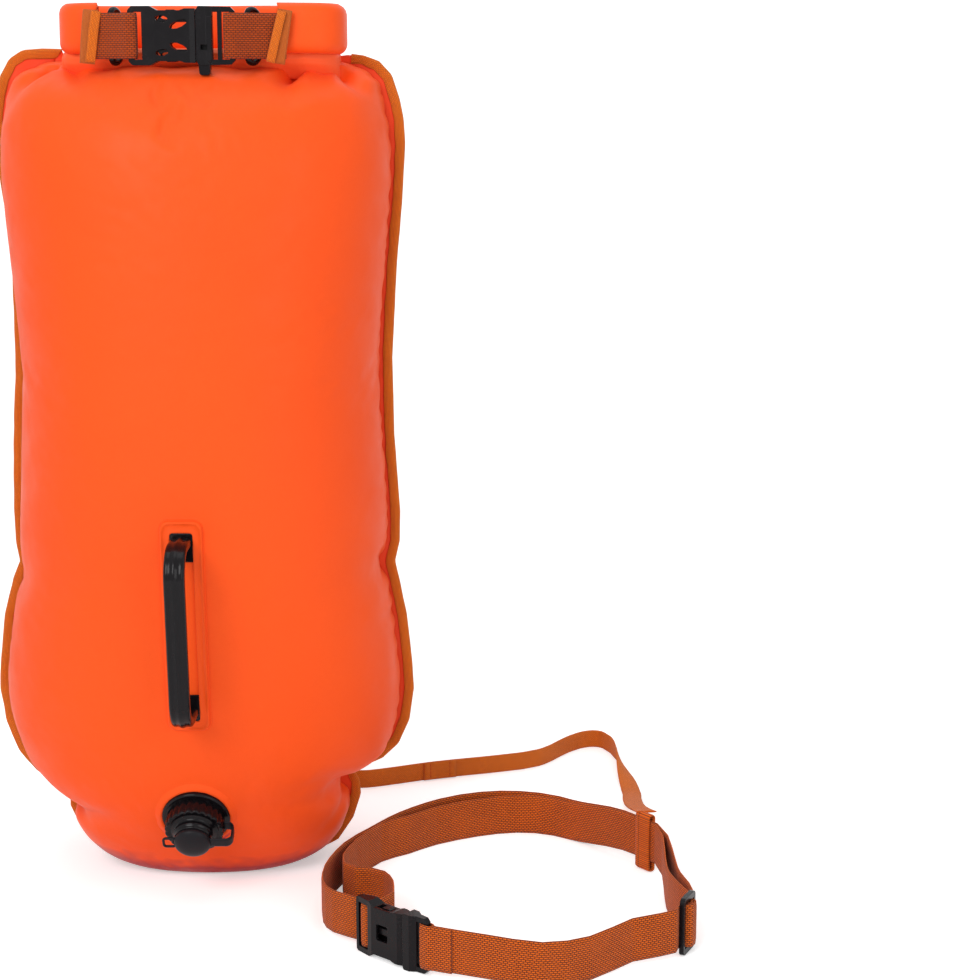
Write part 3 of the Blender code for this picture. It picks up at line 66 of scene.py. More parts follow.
# Where along the leash it starts to turn from its edge onto its flat side, and where it lies flat
TURN_START = 0.63
TURN_END = 0.77
TURN_EASE = 0.03
# How it climbs from there to the top of its loop
RISE_POWER = 1.2
RISE_ROUNDS = 12
LOOP_TOP = 0.0462
FLOOR_CLEARANCE = 0.0003

WEBBING = 0.0015
WIDE_WEBBING = 0.032
NARROW_WEBBING = 0.016
ROUTE_SPACING = 0.016
STRIP_SPACING = 0.003
GAP = 0.0003
# Thickness of webbing at its very edge, as a share, and the points round a wire
SELVEDGE = 0.4
WIRE_STEPS = 14

# The chambers' sections from the floor up, as in the part's source: height, half width, depth
CHAMBER_STATIONS = (
    (0.000, 0.0600, 0.0400), (0.005, 0.0780, 0.0500), (0.016, 0.0940, 0.0600), (0.032, 0.1050, 0.0710),
    (0.052, 0.1105, 0.0825), (0.063, 0.1135, 0.0870), (0.073, 0.1250, 0.0910), (0.092, 0.1410, 0.0970),
    (0.140, 0.1520, 0.1070), (0.210, 0.1455, 0.1170), (0.240, 0.1420, 0.1195), (0.270, 0.1405, 0.1220),
    (0.330, 0.1370, 0.1245), (0.400, 0.1340, 0.1250), (0.520, 0.1435, 0.1185), (0.562, 0.1450, 0.1125),
    (0.588, 0.1420, 0.1020), (0.602, 0.1380, 0.0860), (0.612, 0.1290, 0.0610), (0.6175, 0.1160, 0.0400),
)
CHAMBER_POWER = 2.3
CHAMBER_INNER_FACE = 0.0018
SIDE_DENTS = ((0.063, 0.0085, 0.010), (0.240, 0.0035, 0.018))
DENT_REACH = math.radians(32)
NOTCH_HEIGHT = 0.063
NOTCH_SPREAD = 0.030
NOTCH_SKEW = 0.007
FOOT_BLEND = 0.010
LEAN = 0.0043
LEAN_HEIGHT = 0.155
LEAN_SPREAD = 0.085

# The skins' grids and how the air swells them
SKIN_SPACING = 0.0042
SKIN_COLUMNS = 112
SECTION_STEPS = 700
PROFILE_STEPS = 1500
SWELL_FRAMES = 20
CLOTH_SETTINGS = {
    "quality": 6, "mass": 0.15, "tension_stiffness": 30, "compression_stiffness": 30,
    "shear_stiffness": 8, "bending_stiffness": 0.15, "use_pressure": True,
    "uniform_pressure_force": 2.5, "vertex_group_mass": "held", "vertex_group_shrink": "slack",
    "shrink_min": 0.0, "shrink_max": -0.09,
}
START_ROUGHNESS = 0.0003
SLACK_REACH = 0.045
BLUR_REACH = 7
BLUR_ROUNDS = 2
WRINKLE_GAIN = 2.2
WRINKLE_CAP = 0.0050
SWELL_CAP = 0.0020
# Clear margins round the patch and the valve in which the skin is held, and how they fade out
PATCH_HOLD = 0.004
VALVE_HOLD = 0.029
HOLD_FADE = 0.016
# Heights and downward facing between which the skins turn to a darker red, painted shade on their underside
SHADE_HEIGHTS = (0.062, 0.046)
SHADE_FACING = (-0.58, -0.72)

# Handles, patches and valves, as in the part's source
FITTING_X = -0.003
HANDLE_WIDTH = 0.0150
HANDLE_THICKNESS = 0.0080
HANDLE_TOP = 0.2815
HANDLE_BOTTOM = 0.1515
HANDLE_REACH = 0.0410
HANDLE_BEND = 0.020
PAD_HALF_WIDTH = 0.0120
PAD_HALF_HEIGHT = 0.0110
PAD_THICKNESS = 0.0015
PAD_CORNER = 0.003
PAD_POINTS = 64
PATCH_BOTTOM = 0.1360
PATCH_TOP = 0.2970
PATCH_HALF_WIDTH = 0.0155
PATCH_CORNER = 0.006
SLOT_BOTTOM = 0.1440
SLOT_TOP = 0.2880
SLOT_HALF_WIDTH = 0.00825
SLOT_CORNER = 0.0020
FITTING_RIPPLE = 0.0003
VALVE_HEIGHT = 0.062
VALVE_TILT = math.radians(27)

# The roll's plan and section, as in the part's source
ROLL_BOTTOM = 0.6243
ROLL_CORE = 0.0100
ROLL_LEFT = -0.0855
ROLL_RIGHT = 0.1055
ROLL_FRONT = -0.0580
ROLL_LEFT_TIP = -0.0620
ROLL_RIGHT_TIP = 0.0660
ROLL_BEND = 0.020
STRAP_HEIGHT = 0.6370

# Colours, as linear red, green and blue
ORANGE = (0.92, 0.090, 0.008)
ORANGE_SHADE = (0.82, 0.050, 0.008)
# Darker red painted on the skins' underside as shade
PAINTED_UNDERSIDE_SHADE = (0.42, 0.016, 0.016)
NECK_ORANGE = (0.95, 0.130, 0.034)
AMBER = (0.84, 0.145, 0.003)
AMBER_LIGHT = (0.60, 0.155, 0.022)
AMBER_DARK = (0.13, 0.018, 0.002)
TAPE_AMBER = (1.0, 0.240, 0.010)
TAPE_SHADE = (0.56, 0.088, 0.003)
STRAP_AMBER = (0.52, 0.066, 0.002)
# The bag's wall: a darker, redder orange, painted shade beside the tape
SHADED_WALL_RED = (0.86, 0.068, 0.018)
THREAD = (0.62, 0.050, 0.008)
BLACK = (0.005, 0.004, 0.005)
RUBBER_BLACK = (0.008, 0.007, 0.009)
PALE = (0.93, 0.93, 0.93)
BACKDROP_GLOW = 0.42


def shader_node(tree, kind, settings=None, **values):
    """Add a shader node. Each value is a number, a colour or the output that feeds that input."""
    made = tree.nodes.new("ShaderNode" + kind)
    for name, value in (settings or {}).items():
        setattr(made, name, value)
    for name, value in values.items():
        socket = made.inputs[int(name[1:])] if name[1:].isdigit() else made.inputs[name.replace("_", " ")]
        if isinstance(value, bpy.types.NodeSocket):
            tree.links.new(value, socket)
        else:
            socket.default_value = value
    return made


def new_material(name, roughness, specular, **sockets):
    """A Principled material and its tree, shader and texture coordinates."""
    made = bpy.data.materials.new(name)
    made.use_nodes = True
    tree = made.node_tree
    shader = tree.nodes["Principled BSDF"]
    shader.inputs["Roughness"].default_value = roughness
    shader.inputs["Specular IOR Level"].default_value = specular
    for socket, value in sockets.items():
        shader.inputs[socket.replace("_", " ")].default_value = value
    return made, tree, shader, tree.nodes.new("ShaderNodeTexCoord")


def rgba(colour):
    """A colour with full alpha."""
    return (*colour, 1.0)


def blended(tree, factor, low, high):
    """The colour between two colours or outputs by a factor."""
    low = low if isinstance(low, bpy.types.NodeSocket) else rgba(low)
    high = high if isinstance(high, bpy.types.NodeSocket) else rgba(high)
    return shader_node(tree, "MixRGB", Fac=factor, Color1=low, Color2=high).outputs["Color"]


def spread(tree, value, low, high, to_low=0.0, to_high=1.0):
    """A value taken from one range to another."""
    return shader_node(tree, "MapRange", Value=value, From_Min=low, From_Max=high,
                       To_Min=to_low, To_Max=to_high).outputs["Result"]


def texture(tree, point, scale, detail, **values):
    """Noise with a number of repeats for each metre and a number of finer octaves."""
    return shader_node(tree, "TexNoise", Vector=point, Scale=scale, Detail=detail, **values).outputs["Fac"]


def calculated(tree, operation, first, second):
    """What a math node makes of two values."""
    return shader_node(tree, "Math", {"operation": operation}, i0=first, i1=second).outputs["Value"]


def seen_or_mirrored(tree):
    """1 for what the camera sees straight or in a gloss, 0 for the light on the object."""
    ray = tree.nodes.new("ShaderNodeLightPath")
    return calculated(tree, "MAXIMUM", ray.outputs["Is Camera Ray"], ray.outputs["Is Glossy Ray"])


def bumped(tree, shader, *layers, start=None):
    """Chain bumps, each a height output, its depth in metres and its strength."""
    normal = start
    for height, depth, strength in layers:
        bump = shader_node(tree, "Bump", Height=height, Distance=depth, Strength=strength)
        if normal is not None:
            tree.links.new(normal, bump.inputs["Normal"])
        normal = bump.outputs["Normal"]
    tree.links.new(normal, shader.inputs["Normal"])


def fabric_material(name, colour, shade):
    """Coated woven nylon: a fine grain, soft sheen and an uneven colour, with painted shade in darker red low
    down where it faces downward.
    """
    made, tree, shader, place = new_material(name, 0.50, 0.16, Sheen_Weight=0.03, Sheen_Roughness=0.5)
    point = place.outputs["Object"]
    broad = texture(tree, point, 7.0, 3.0)
    fine = texture(tree, point, 420.0, 2.0)
    uneven = texture(tree, point, 38.0, 4.0)
    tone = blended(tree, spread(tree, broad, 0.35, 0.75, 0.0, 0.18), colour, shade)
    tone = blended(tree, spread(tree, fine, 0.3, 0.7, 0.0, 0.10), tone, shade)
    height = shader_node(tree, "SeparateXYZ", Vector=point).outputs["Z"]
    facing = tree.nodes.new("ShaderNodeNewGeometry").outputs["Normal"]
    facing = shader_node(tree, "SeparateXYZ", Vector=facing).outputs["Z"]
    # Painted shade: low down and facing downward the colour turns to a darker red
    under = calculated(tree, "MULTIPLY", spread(tree, height, *SHADE_HEIGHTS),
                       spread(tree, facing, *SHADE_FACING))
    tone = blended(tree, under, tone, PAINTED_UNDERSIDE_SHADE)
    tree.links.new(tone, shader.inputs["Base Color"])
    tree.links.new(spread(tree, uneven, 0.3, 0.7, 0.42, 0.58), shader.inputs["Roughness"])
    weave = shader_node(tree, "TexVoronoi", {"feature": "F1"}, Vector=point, Scale=1400.0)
    bumped(tree, shader, (weave.outputs["Distance"], 0.00012, 0.35), (uneven, 0.0012, 0.18))
    return made


def webbing_material(name, colour, dark, float_length, yarn_width, gap, offset=0.5):
    """Woven webbing: rows of yarn that pass over and under, in metres of the strip's own map."""
    made, tree, shader, place = new_material(name, 0.78, 0.12, Sheen_Weight=0.10, Sheen_Roughness=0.6)
    point = place.outputs["UV"]
    yarn = shader_node(
        tree, "TexBrick", {"offset": offset, "squash": 1.0}, Vector=point, Scale=1.0,
        Mortar_Size=gap, Mortar_Smooth=0.7, Brick_Width=float_length, Row_Height=yarn_width,
        Color1=rgba(colour), Color2=rgba([0.84 * c for c in colour]), Mortar=rgba(dark),
    )
    stretch = shader_node(tree, "Mapping", Vector=point, Scale=(700.0, 4200.0, 1.0)).outputs["Vector"]
    fibres = shader_node(tree, "TexNoise", {"noise_dimensions": "2D"}, Vector=stretch,
                         Scale=1.0, Detail=2.0).outputs["Fac"]
    worn = texture(tree, place.outputs["Object"], 45.0, 4.0)
    tone = blended(tree, spread(tree, fibres, 0.3, 0.7, 0.0, 0.22), yarn.outputs["Color"], dark)
    tone = blended(tree, spread(tree, worn, 0.45, 0.75, 0.0, 0.16), tone, colour)
    tree.links.new(tone, shader.inputs["Base Color"])
    height = calculated(tree, "SUBTRACT", 1.0, yarn.outputs["Fac"])
    bumped(tree, shader, (fibres, 0.0001, 0.25), (height, 0.0007, 0.9))
    return made


def moulding_material(name, colour, roughness, specular, round_edge=0.0):
    """Moulded black plastic with a faint texture, handling marks and, where asked for, eased edges."""
    made, tree, shader, place = new_material(name, roughness, specular)
    point = place.outputs["Object"]
    fine = texture(tree, point, 900.0, 2.0)
    marks = texture(tree, point, 65.0, 6.0, Roughness=0.65)
    paler = [c + 0.008 for c in colour]
    tone = blended(tree, spread(tree, marks, 0.55, 0.85, 0.0, 0.35), colour, paler)
    tree.links.new(tone, shader.inputs["Base Color"])
    tree.links.new(spread(tree, marks, 0.3, 0.8, roughness - 0.06, roughness + 0.12),
                   shader.inputs["Roughness"])
    start = None
    if round_edge:
        start = shader_node(tree, "Bevel", {"samples": 6}, Radius=round_edge).outputs["Normal"]
    bumped(tree, shader, (fine, 0.0001, 0.15), (marks, 0.0004, 0.08), start=start)
    return made


def thread_material(name, colour):
    """Sewing thread with its twist."""
    made, tree, shader, place = new_material(name, 0.6, 0.2)
    twist = shader_node(tree, "TexWave", {"bands_direction": "DIAGONAL"}, Vector=place.outputs["Object"],
                        Scale=900.0, Distortion=1.0).outputs["Fac"]
    tone = blended(tree, spread(tree, twist, 0.0, 1.0, 0.0, 0.5), colour, [0.5 * c for c in colour])
    tree.links.new(tone, shader.inputs["Base Color"])
    bumped(tree, shader, (twist, 0.0001, 0.4))
    return made


def backdrop_material():
    """A pale floor that takes the shadow and looks white to the camera."""
    made, tree, shader, place = new_material("pale_backdrop", 0.9, 0.1)
    grain = texture(tree, place.outputs["Object"], 3.0, 3.0)
    tone = blended(tree, spread(tree, grain, 0.3, 0.7, 0.0, 1.0), PALE, [0.985 * c for c in PALE])
    tree.links.new(tone, shader.inputs["Base Color"])
    shader.inputs["Emission Color"].default_value = (1.0, 1.0, 1.0, 1.0)
    tree.links.new(spread(tree, seen_or_mirrored(tree), 0.0, 1.0, 0.0, BACKDROP_GLOW),
                   shader.inputs["Emission Strength"])
    return made


FABRIC = fabric_material("coated_nylon", ORANGE, ORANGE_SHADE)
NECK_FABRIC = fabric_material("neck_nylon", NECK_ORANGE, ORANGE)
# The wall's fabric is a darker copy of the skins' fabric, painted shade
SHADED_WALL_FABRIC = fabric_material("bag_wall_nylon", SHADED_WALL_RED, ORANGE_SHADE)
WOVEN = webbing_material("amber_webbing", AMBER, AMBER_DARK, 0.0030, 0.0015, 0.00040)
STRAP = webbing_material("roll_strap_webbing", STRAP_AMBER, AMBER_DARK, 0.0030, 0.0015, 0.00040)
TAPE = webbing_material("amber_tape", TAPE_AMBER, TAPE_SHADE, 0.0018, 0.0010, 0.00026)
RIBBED = webbing_material("amber_ribbed_webbing", AMBER, AMBER_DARK, 0.0016, 0.0120, 0.00036, 0.0)
FOLDED = webbing_material("light_amber_tape", AMBER_LIGHT, TAPE_SHADE, 0.0018, 0.0010, 0.00024)
MOULDED = moulding_material("black_moulding", BLACK, 0.24, 0.14, 0.00045)
GLOSSY = moulding_material("black_glossy_moulding", BLACK, 0.16, 0.16)
RUBBER = moulding_material("black_rubber", RUBBER_BLACK, 0.42, 0.14)
STITCHING = thread_material("stitching", THREAD)


def make_camera():
    """The photo's viewpoint."""
    camera = bpy.data.objects.new("camera", bpy.data.cameras.new("camera"))
    camera.data.lens = CAMERA_LENS_MM
    camera.data.sensor_width = SENSOR_MM
    camera.data.clip_start = 0.02
    camera.location = CAMERA_PLACE
    camera.rotation_euler = (CAMERA_PITCH, 0.0, 0.0)
    bpy.context.scene.collection.objects.link(camera)
    bpy.context.scene.camera = camera


def add_piece(name, mesh, material, body, replaced=()):
    """Link a finished mesh as a piece that rides on a body, when one is given."""
    mesh.name = name
    mesh.materials.append(material)
    piece = bpy.data.objects.new(name, mesh)
    bpy.context.scene.collection.objects.link(piece)
    if body:
        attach(piece, body)
    if replaced:
        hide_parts(*replaced)
    return piece


def rough(x, y, z):
    """Smooth noise at a point."""
    return noise.noise(Vector((x, y, z)))


def fade(distance, reach, power=2):
    """A share that falls from 1 to 0 over about a reach."""
    return np.exp(-(distance / reach) ** power)


def circle(steps):
    """Angles evenly round a circle."""
    return [math.tau * step / steps for step in range(steps)]


def cubic(low, high, rise, fall, t):
    """A value between two others on a cubic, with its slopes at both."""
    return (low * (1 - 3 * t ** 2 + 2 * t ** 3) + high * (3 * t ** 2 - 2 * t ** 3)
            + rise * (t - 2 * t ** 2 + t ** 3) + fall * (t ** 3 - t ** 2))


def smooth_route(points, spacing):
    """Points about evenly spaced on a smooth curve through a route's own points."""
    route = [Vector(point) for point in points]
    line = []
    for i in range(len(route) - 1):
        before = route[max(i - 1, 0)]
        low, high = route[i], route[i + 1]
        after = route[min(i + 2, len(route) - 1)]
        steps = max(1, round((high - low).length / spacing))
        for step in range(steps):
            line.append(cubic(low, high, (high - before) / 2, (after - low) / 2, step / steps))
    line.append(route[-1])
    return line


def travel(points):
    """How far along a line each of its points is."""
    steps = np.linalg.norm(np.diff(points, axis=0), axis=1)
    return np.concatenate([[0.0], np.cumsum(steps)])


def resampled(points, spacing=None, count=None):
    """Points evenly spaced along straight stretches."""
    points = np.array([tuple(p) for p in points])
    lengths = travel(points)
    count = count or max(2, round(lengths[-1] / spacing) + 1)
    marks = np.linspace(0.0, lengths[-1], count)
    return np.stack([np.interp(marks, lengths, points[:, i]) for i in range(points.shape[1])], axis=1)


def resampled_ring(points, spacing=None, count=None):
    """Points evenly spaced round a closed outline."""
    points = [tuple(p) for p in points]
    return resampled(points + points[:1], spacing, count and count + 1)[:-1]


def softened_ring(points, rounds):
    """A closed line whose corners are eased."""
    for _ in range(rounds):
        points = (np.roll(points, 1, axis=0) + 2 * points + np.roll(points, -1, axis=0)) / 4
    return points


def softened(points, rounds):
    """A line whose corners are eased, with its two ends kept."""
    for _ in range(rounds):
        inner = 0.25 * points[:-2] + 0.5 * points[1:-1] + 0.25 * points[2:]
        points = np.concatenate([points[:1], inner, points[-1:]])
    return points


def filleted(points, radius, steps):
    """A path through corner points, with each inner corner rounded to an arc."""
    route = [Vector(points[0])]
    for before, corner, after in zip(points, points[1:], points[2:]):
        before, corner, after = Vector(before), Vector(corner), Vector(after)
        to_before = (before - corner).normalized()
        to_after = (after - corner).normalized()
        half = to_before.angle(to_after) / 2
        reach = radius / math.tan(half)
        middle = corner + (to_before + to_after).normalized() * radius / math.sin(half)
        start = corner + to_before * reach - middle
        end = corner + to_after * reach - middle
        sweep = start.angle(end)
        for step in range(steps + 1):
            share = step / steps
            blend = start * math.sin((1 - share) * sweep) + end * math.sin(share * sweep)
            route.append(middle + blend / math.sin(sweep))
    route.append(Vector(points[-1]))
    return route


def rounded_rectangle(half_width, half_height, radius, steps, middle=(0.0, 0.0)):
    """Outline of a rectangle with round corners."""
    points = []
    for quarter, (sign_x, sign_y) in enumerate(((1, 1), (-1, 1), (-1, -1), (1, -1))):
        for step in range(steps + 1):
            angle = math.pi / 2 * (quarter + step / steps)
            points.append((
                middle[0] + sign_x * (half_width - radius) + radius * math.cos(angle),
                middle[1] + sign_y * (half_height - radius) + radius * math.sin(angle),
            ))
    return points


def thicken(piece, thickness):
    """Give a sheet its thickness, half to each side."""
    solid = piece.modifiers.new("thickness", "SOLIDIFY")
    solid.thickness = thickness
    solid.offset = 0.0


def finished(mesh, merge=0.0):
    """A mesh shaded smooth, with close corners joined where asked for and its faces turned outward."""
    work = bmesh.new()
    work.from_mesh(mesh)
    if merge:
        bmesh.ops.remove_doubles(work, verts=work.verts, dist=merge)
    bmesh.ops.recalc_face_normals(work, faces=work.faces)
    work.to_mesh(mesh)
    work.free()
    mesh.shade_smooth()
    return mesh


def loft(rows, closed=False, ring_closed=True, caps=True):
    """Skin rows of points, with a map in metres along and round them."""
    rows = np.asarray(rows, dtype=float)
    n, m = rows.shape[:2]
    middle = rows.mean(axis=1)
    along = travel(np.concatenate([middle, middle[:1]]))
    wide = rows[len(rows) // 2]
    around = travel(np.concatenate([wide, wide[:1]]))
    faces, maps = [], []
    for i in range(n if closed else n - 1):
        for j in range(m if ring_closed else m - 1):
            a, b = (i + 1) % n, (j + 1) % m
            faces.append((i * m + j, a * m + j, a * m + b, i * m + b))
            maps += [(along[i], around[j]), (along[i + 1], around[j]),
                     (along[i + 1], around[j + 1]), (along[i], around[j + 1])]
    if caps and not closed and ring_closed:
        for end in (range(m), range((n - 1) * m, n * m)):
            faces.append(tuple(end))
            maps += [(0.0, 0.0)] * m
    mesh = bpy.data.meshes.new("loft")
    mesh.from_pydata(rows.reshape(-1, 3).tolist(), [], faces)
    layer = mesh.uv_layers.new(name="metres")
    layer.data.foreach_set("uv", np.array(maps).ravel())
    return finished(mesh, merge=1e-7)


def ways_of(centre, closed=False):
    """Unit directions along a line of points."""
    if closed:
        ways = np.roll(centre, -1, axis=0) - np.roll(centre, 1, axis=0)
    else:
        ways = np.gradient(centre, axis=0)
    return ways / np.linalg.norm(ways, axis=1)[:, None]


def ribbon(centre, width, thickness, tall=(0.0, 0.0, 1.0), turn=None, closed=False):
    """Webbing along a line: its width stands along tall, and it turns by an angle at each point."""
    half, edge = width / 2, thickness / 2
    section = [(across * half, edge * (1.0 if abs(across) < 0.99 else SELVEDGE))
               for across in np.linspace(-1.0, 1.0, 9)]
    ring = section + [(a, -b) for a, b in reversed(section)]
    ways = ways_of(centre, closed)
    tall = np.tile(tall, (len(centre), 1))
    tall = tall - ways * np.einsum("ij,ij->i", tall, ways)[:, None]
    tall /= np.linalg.norm(tall, axis=1)[:, None]
    side = np.cross(ways, tall)
    if turn is not None:
        c, s = np.cos(turn)[:, None], np.sin(turn)[:, None]
        tall, side = tall * c + side * s, side * c - tall * s
    rows = [[p + t * a + d * b for a, b in ring] for p, t, d in zip(centre, tall, side)]
    return loft(rows, closed=closed)


def lathe(profile, steps, place, closed=True, teeth=0):
    """Turn a profile of radius and height pairs round a frame's Z axis, with teeth on its outer wall."""
    wall = max(r for r, z in profile) - GRIP_WALL
    rows = []
    for angle in circle(steps):
        groove = 1 - GRIP_DEPTH * (0.5 + 0.5 * math.cos(teeth * angle)) ** 2 if teeth else 1.0
        row = []
        for r, z in profile:
            r *= groove if r > wall else 1.0
            row.append(place @ Vector((r * math.cos(angle), r * math.sin(angle), z)))
        rows.append(row)
    return loft(rows, closed=True, ring_closed=closed)


def tube(line, radius):
    """A round wire along a closed line that lies in one plane."""
    plane = np.cross(line[1] - line[0], line[len(line) // 2] - line[0])
    plane /= np.linalg.norm(plane)
    rows = []
    for p, w in zip(line, ways_of(line, closed=True)):
        side = np.cross(w, plane)
        rows.append([p + radius * (math.cos(angle) * side + math.sin(angle) * plane)
                     for angle in circle(WIRE_STEPS)])
    return loft(rows, closed=True)


def rim_points(name, direction, limit=0.8):
    """The points round the flat side of a CAD node that faces a direction, in order."""
    work = bmesh.new()
    work.from_mesh(NODES[name].data)
    bmesh.ops.remove_doubles(work, verts=work.verts, dist=1e-6)
    direction = Vector(direction)
    follow = {}
    for edge in work.edges:
        facing = [face for face in edge.link_faces if face.normal.dot(direction) > limit]
        if len(facing) == 1 and len(edge.link_faces) == 2:
            a, b = edge.verts
            follow.setdefault(a, []).append(b)
            follow.setdefault(b, []).append(a)
    loops = []
    while follow:
        start = next(iter(follow))
        loop = [start]
        step = start
        while follow.get(step):
            after = follow[step].pop()
            follow[after].remove(step)
            if not follow[step]:
                del follow[step]
            step = after
            if step is start:
                break
            loop.append(step)
        follow = {corner: others for corner, others in follow.items() if others}
        loops.append([corner.co.copy() for corner in loop])
    work.free()
    return max(loops, key=len)


def centreline(name):
    """The middle line of a CAD strip that stands on its edge, from the rim of its upper side."""
    rim = rim_points(name, UP, 0.7)
    count = len(rim)
    best = None
    for start in range(count):
        turned = rim[start:] + rim[:start]
        pairs = list(zip(turned[:count // 2], reversed(turned[count // 2:])))
        total = sum((a - b).length for a, b in pairs)
        if best is None or total < best[0]:
            best = (total, pairs)
    middle = [(a + b) / 2 for a, b in best[1]]
    return np.array([tuple(p) for p in middle])


def leash_line():
    """The leash's middle line and how far it is turned from its edge onto its flat side."""
    points = softened(resampled(smooth_route(LEASH_ROUTE, ROUTE_SPACING), STRIP_SPACING), 2)
    share = travel(points)
    share /= share[-1]
    flat = np.clip((share - TURN_START) / (TURN_END - TURN_START), 0.0, 1.0)
    flat = flat ** 2 * (3 - 2 * flat)
    turn = flat * math.pi / 2
    stand = NARROW_WEBBING / 2 * np.cos(turn) + WEBBING / 2 * np.sin(turn) + FLOOR_CLEARANCE
    rise = np.clip((share - TURN_END) / (1 - TURN_END), 0.0, 1.0)
    flat_height = WEBBING + (LOOP_TOP - WEBBING) * rise ** RISE_POWER
    lying = np.maximum(stand, flat_height * (share > TURN_END))
    lowered = np.where((points[:, 2] < NARROW_WEBBING) | (share > TURN_START), lying, points[:, 2])
    blend = np.clip((share - TURN_START) / TURN_EASE, 0.0, 1.0)
    points[:, 2] = points[:, 2] * (1 - blend) + lowered * blend
    points[:, 2] = softened(points, RISE_ROUNDS)[:, 2]
    return points, turn


def make_leash():
    """The leash's free stretch, first of all pieces because its place is checked against the view."""
    points, turn = leash_line()
    mesh = ribbon(points, NARROW_WEBBING, WEBBING, turn=turn)
    piece = add_piece("leash_strip", mesh, TAPE, "buoy", ["leash"])
    return points


make_camera()
leash_points = make_leash()


def chamber_section(height):
    """Half width and depth of a chamber at a height, on a cubic through the stations."""
    last = len(CHAMBER_STATIONS) - 1
    index = 0
    while index < last - 1 and height > CHAMBER_STATIONS[index + 1][0]:
        index += 1
    before, after = CHAMBER_STATIONS[max(index - 1, 0)], CHAMBER_STATIONS[min(index + 2, last)]
    low, high = CHAMBER_STATIONS[index], CHAMBER_STATIONS[index + 1]
    span = high[0] - low[0]
    t = (height - low[0]) / span
    values = []
    for column in (1, 2):
        rise = (high[column] - before[column]) / (high[0] - before[0]) * span
        fall = (after[column] - low[column]) / (after[0] - low[0]) * span
        values.append(cubic(low[column], high[column], rise, fall, t))
    return values


def lean(z):
    """How far the chambers stand to the side at a height."""
    return -LEAN * math.exp(-((z - LEAN_HEIGHT) / LEAN_SPREAD) ** 2)


def skin_depth(x, z):
    """Distance of the chamber's outer face from the middle plane."""
    half_width, depth = chamber_section(z)
    share = 1 - (abs(x - lean(z)) / half_width) ** CHAMBER_POWER
    return CHAMBER_INNER_FACE + (depth - CHAMBER_INNER_FACE) * share ** (1 / CHAMBER_POWER)


def skew(x, z):
    """How far points move up or down because the right notch sits above the left one."""
    side = np.clip(x / 0.12, -1.0, 1.0)
    return NOTCH_SKEW * side * math.exp(-((z - NOTCH_HEIGHT) / NOTCH_SPREAD) ** 2) * min(1.0, z / FOOT_BLEND)


def skin_row(height):
    """Points across the front skin at one height, evenly spaced from the right seam to the left one."""
    half_width, depth = chamber_section(height)
    angles = np.linspace(0.0, math.pi, SECTION_STEPS)
    from_seam = np.minimum(angles, math.pi - angles)
    dent = sum(dip * math.exp(-((height - level) / tall) ** 2) for level, dip, tall in SIDE_DENTS)
    power = 2 / CHAMBER_POWER
    wide = half_width - dent * np.exp(-(from_seam / DENT_REACH) ** 2)
    x = wide * np.sign(np.cos(angles)) * np.abs(np.cos(angles)) ** power
    y = CHAMBER_INNER_FACE + (depth - CHAMBER_INNER_FACE) * np.sin(angles) ** power
    z = height + skew(x, height)
    x = x + lean(height)
    line = np.stack([x, y, z], axis=1)
    return resampled(line, count=SKIN_COLUMNS + 1)


def seam_distances(grid):
    """How far along its row each point is from the right seam, and from the left one."""
    across = np.linalg.norm(np.diff(grid, axis=1), axis=2)
    arc = np.concatenate([np.zeros((len(grid), 1)), np.cumsum(across, axis=1)], axis=1)
    return arc, arc[:, -1:] - arc


def grid_faces(n, m):
    """The faces of a sheet of points with a number of rows and columns."""
    return [(i * m + j, i * m + j + 1, (i + 1) * m + j + 1, (i + 1) * m + j)
            for i in range(n - 1) for j in range(m - 1)]


def skin_grid():
    """The front skin's points, with rows evenly spaced along its middle."""
    fine = np.linspace(0.0, CHAMBER_STATIONS[-1][0], PROFILE_STEPS)
    depths = np.array([chamber_section(z)[1] for z in fine])
    lengths = travel(np.stack([fine, depths], axis=1))
    marks = np.linspace(0.0, lengths[-1], round(lengths[-1] / SKIN_SPACING) + 1)
    grid = np.array([skin_row(z) for z in np.interp(marks, lengths, fine)])
    return grid, marks


def fitting_hold(grid, side):
    """How firmly points are kept in place: 1 at the seam, ends, patch and valve, 0 elsewhere."""
    x, z = grid[:, :, 0], grid[:, :, 2]
    away = np.maximum(np.abs(x - side * FITTING_X) - PATCH_HALF_WIDTH,
                      np.maximum(PATCH_BOTTOM - z, z - PATCH_TOP))
    hold = np.clip(1.0 - (away - PATCH_HOLD) / HOLD_FADE, 0.0, 1.0)
    middle = np.array([side * FITTING_X, skin_depth(side * FITTING_X, VALVE_HEIGHT), VALVE_HEIGHT])
    far = np.linalg.norm(grid - middle, axis=2)
    hold = np.maximum(hold, np.clip(1.0 - (far - VALVE_HOLD) / HOLD_FADE, 0.0, 1.0))
    for edge in (hold[:, 0], hold[:, -1], hold[0], hold[-1]):
        edge[:] = 1.0
    return hold


def blurred(values):
    """Values on a grid, averaged over neighbours, with the edges repeated."""
    span = 2 * BLUR_REACH + 1
    for _ in range(BLUR_ROUNDS):
        for axis in (0, 1):
            pads = [(0, 0)] * values.ndim
            pads[axis] = (BLUR_REACH, BLUR_REACH)
            wide = np.pad(values, pads, mode="edge")
            values = sum(np.take(wide, range(k, k + values.shape[axis]), axis=axis)
                         for k in range(span)) / span
    return values


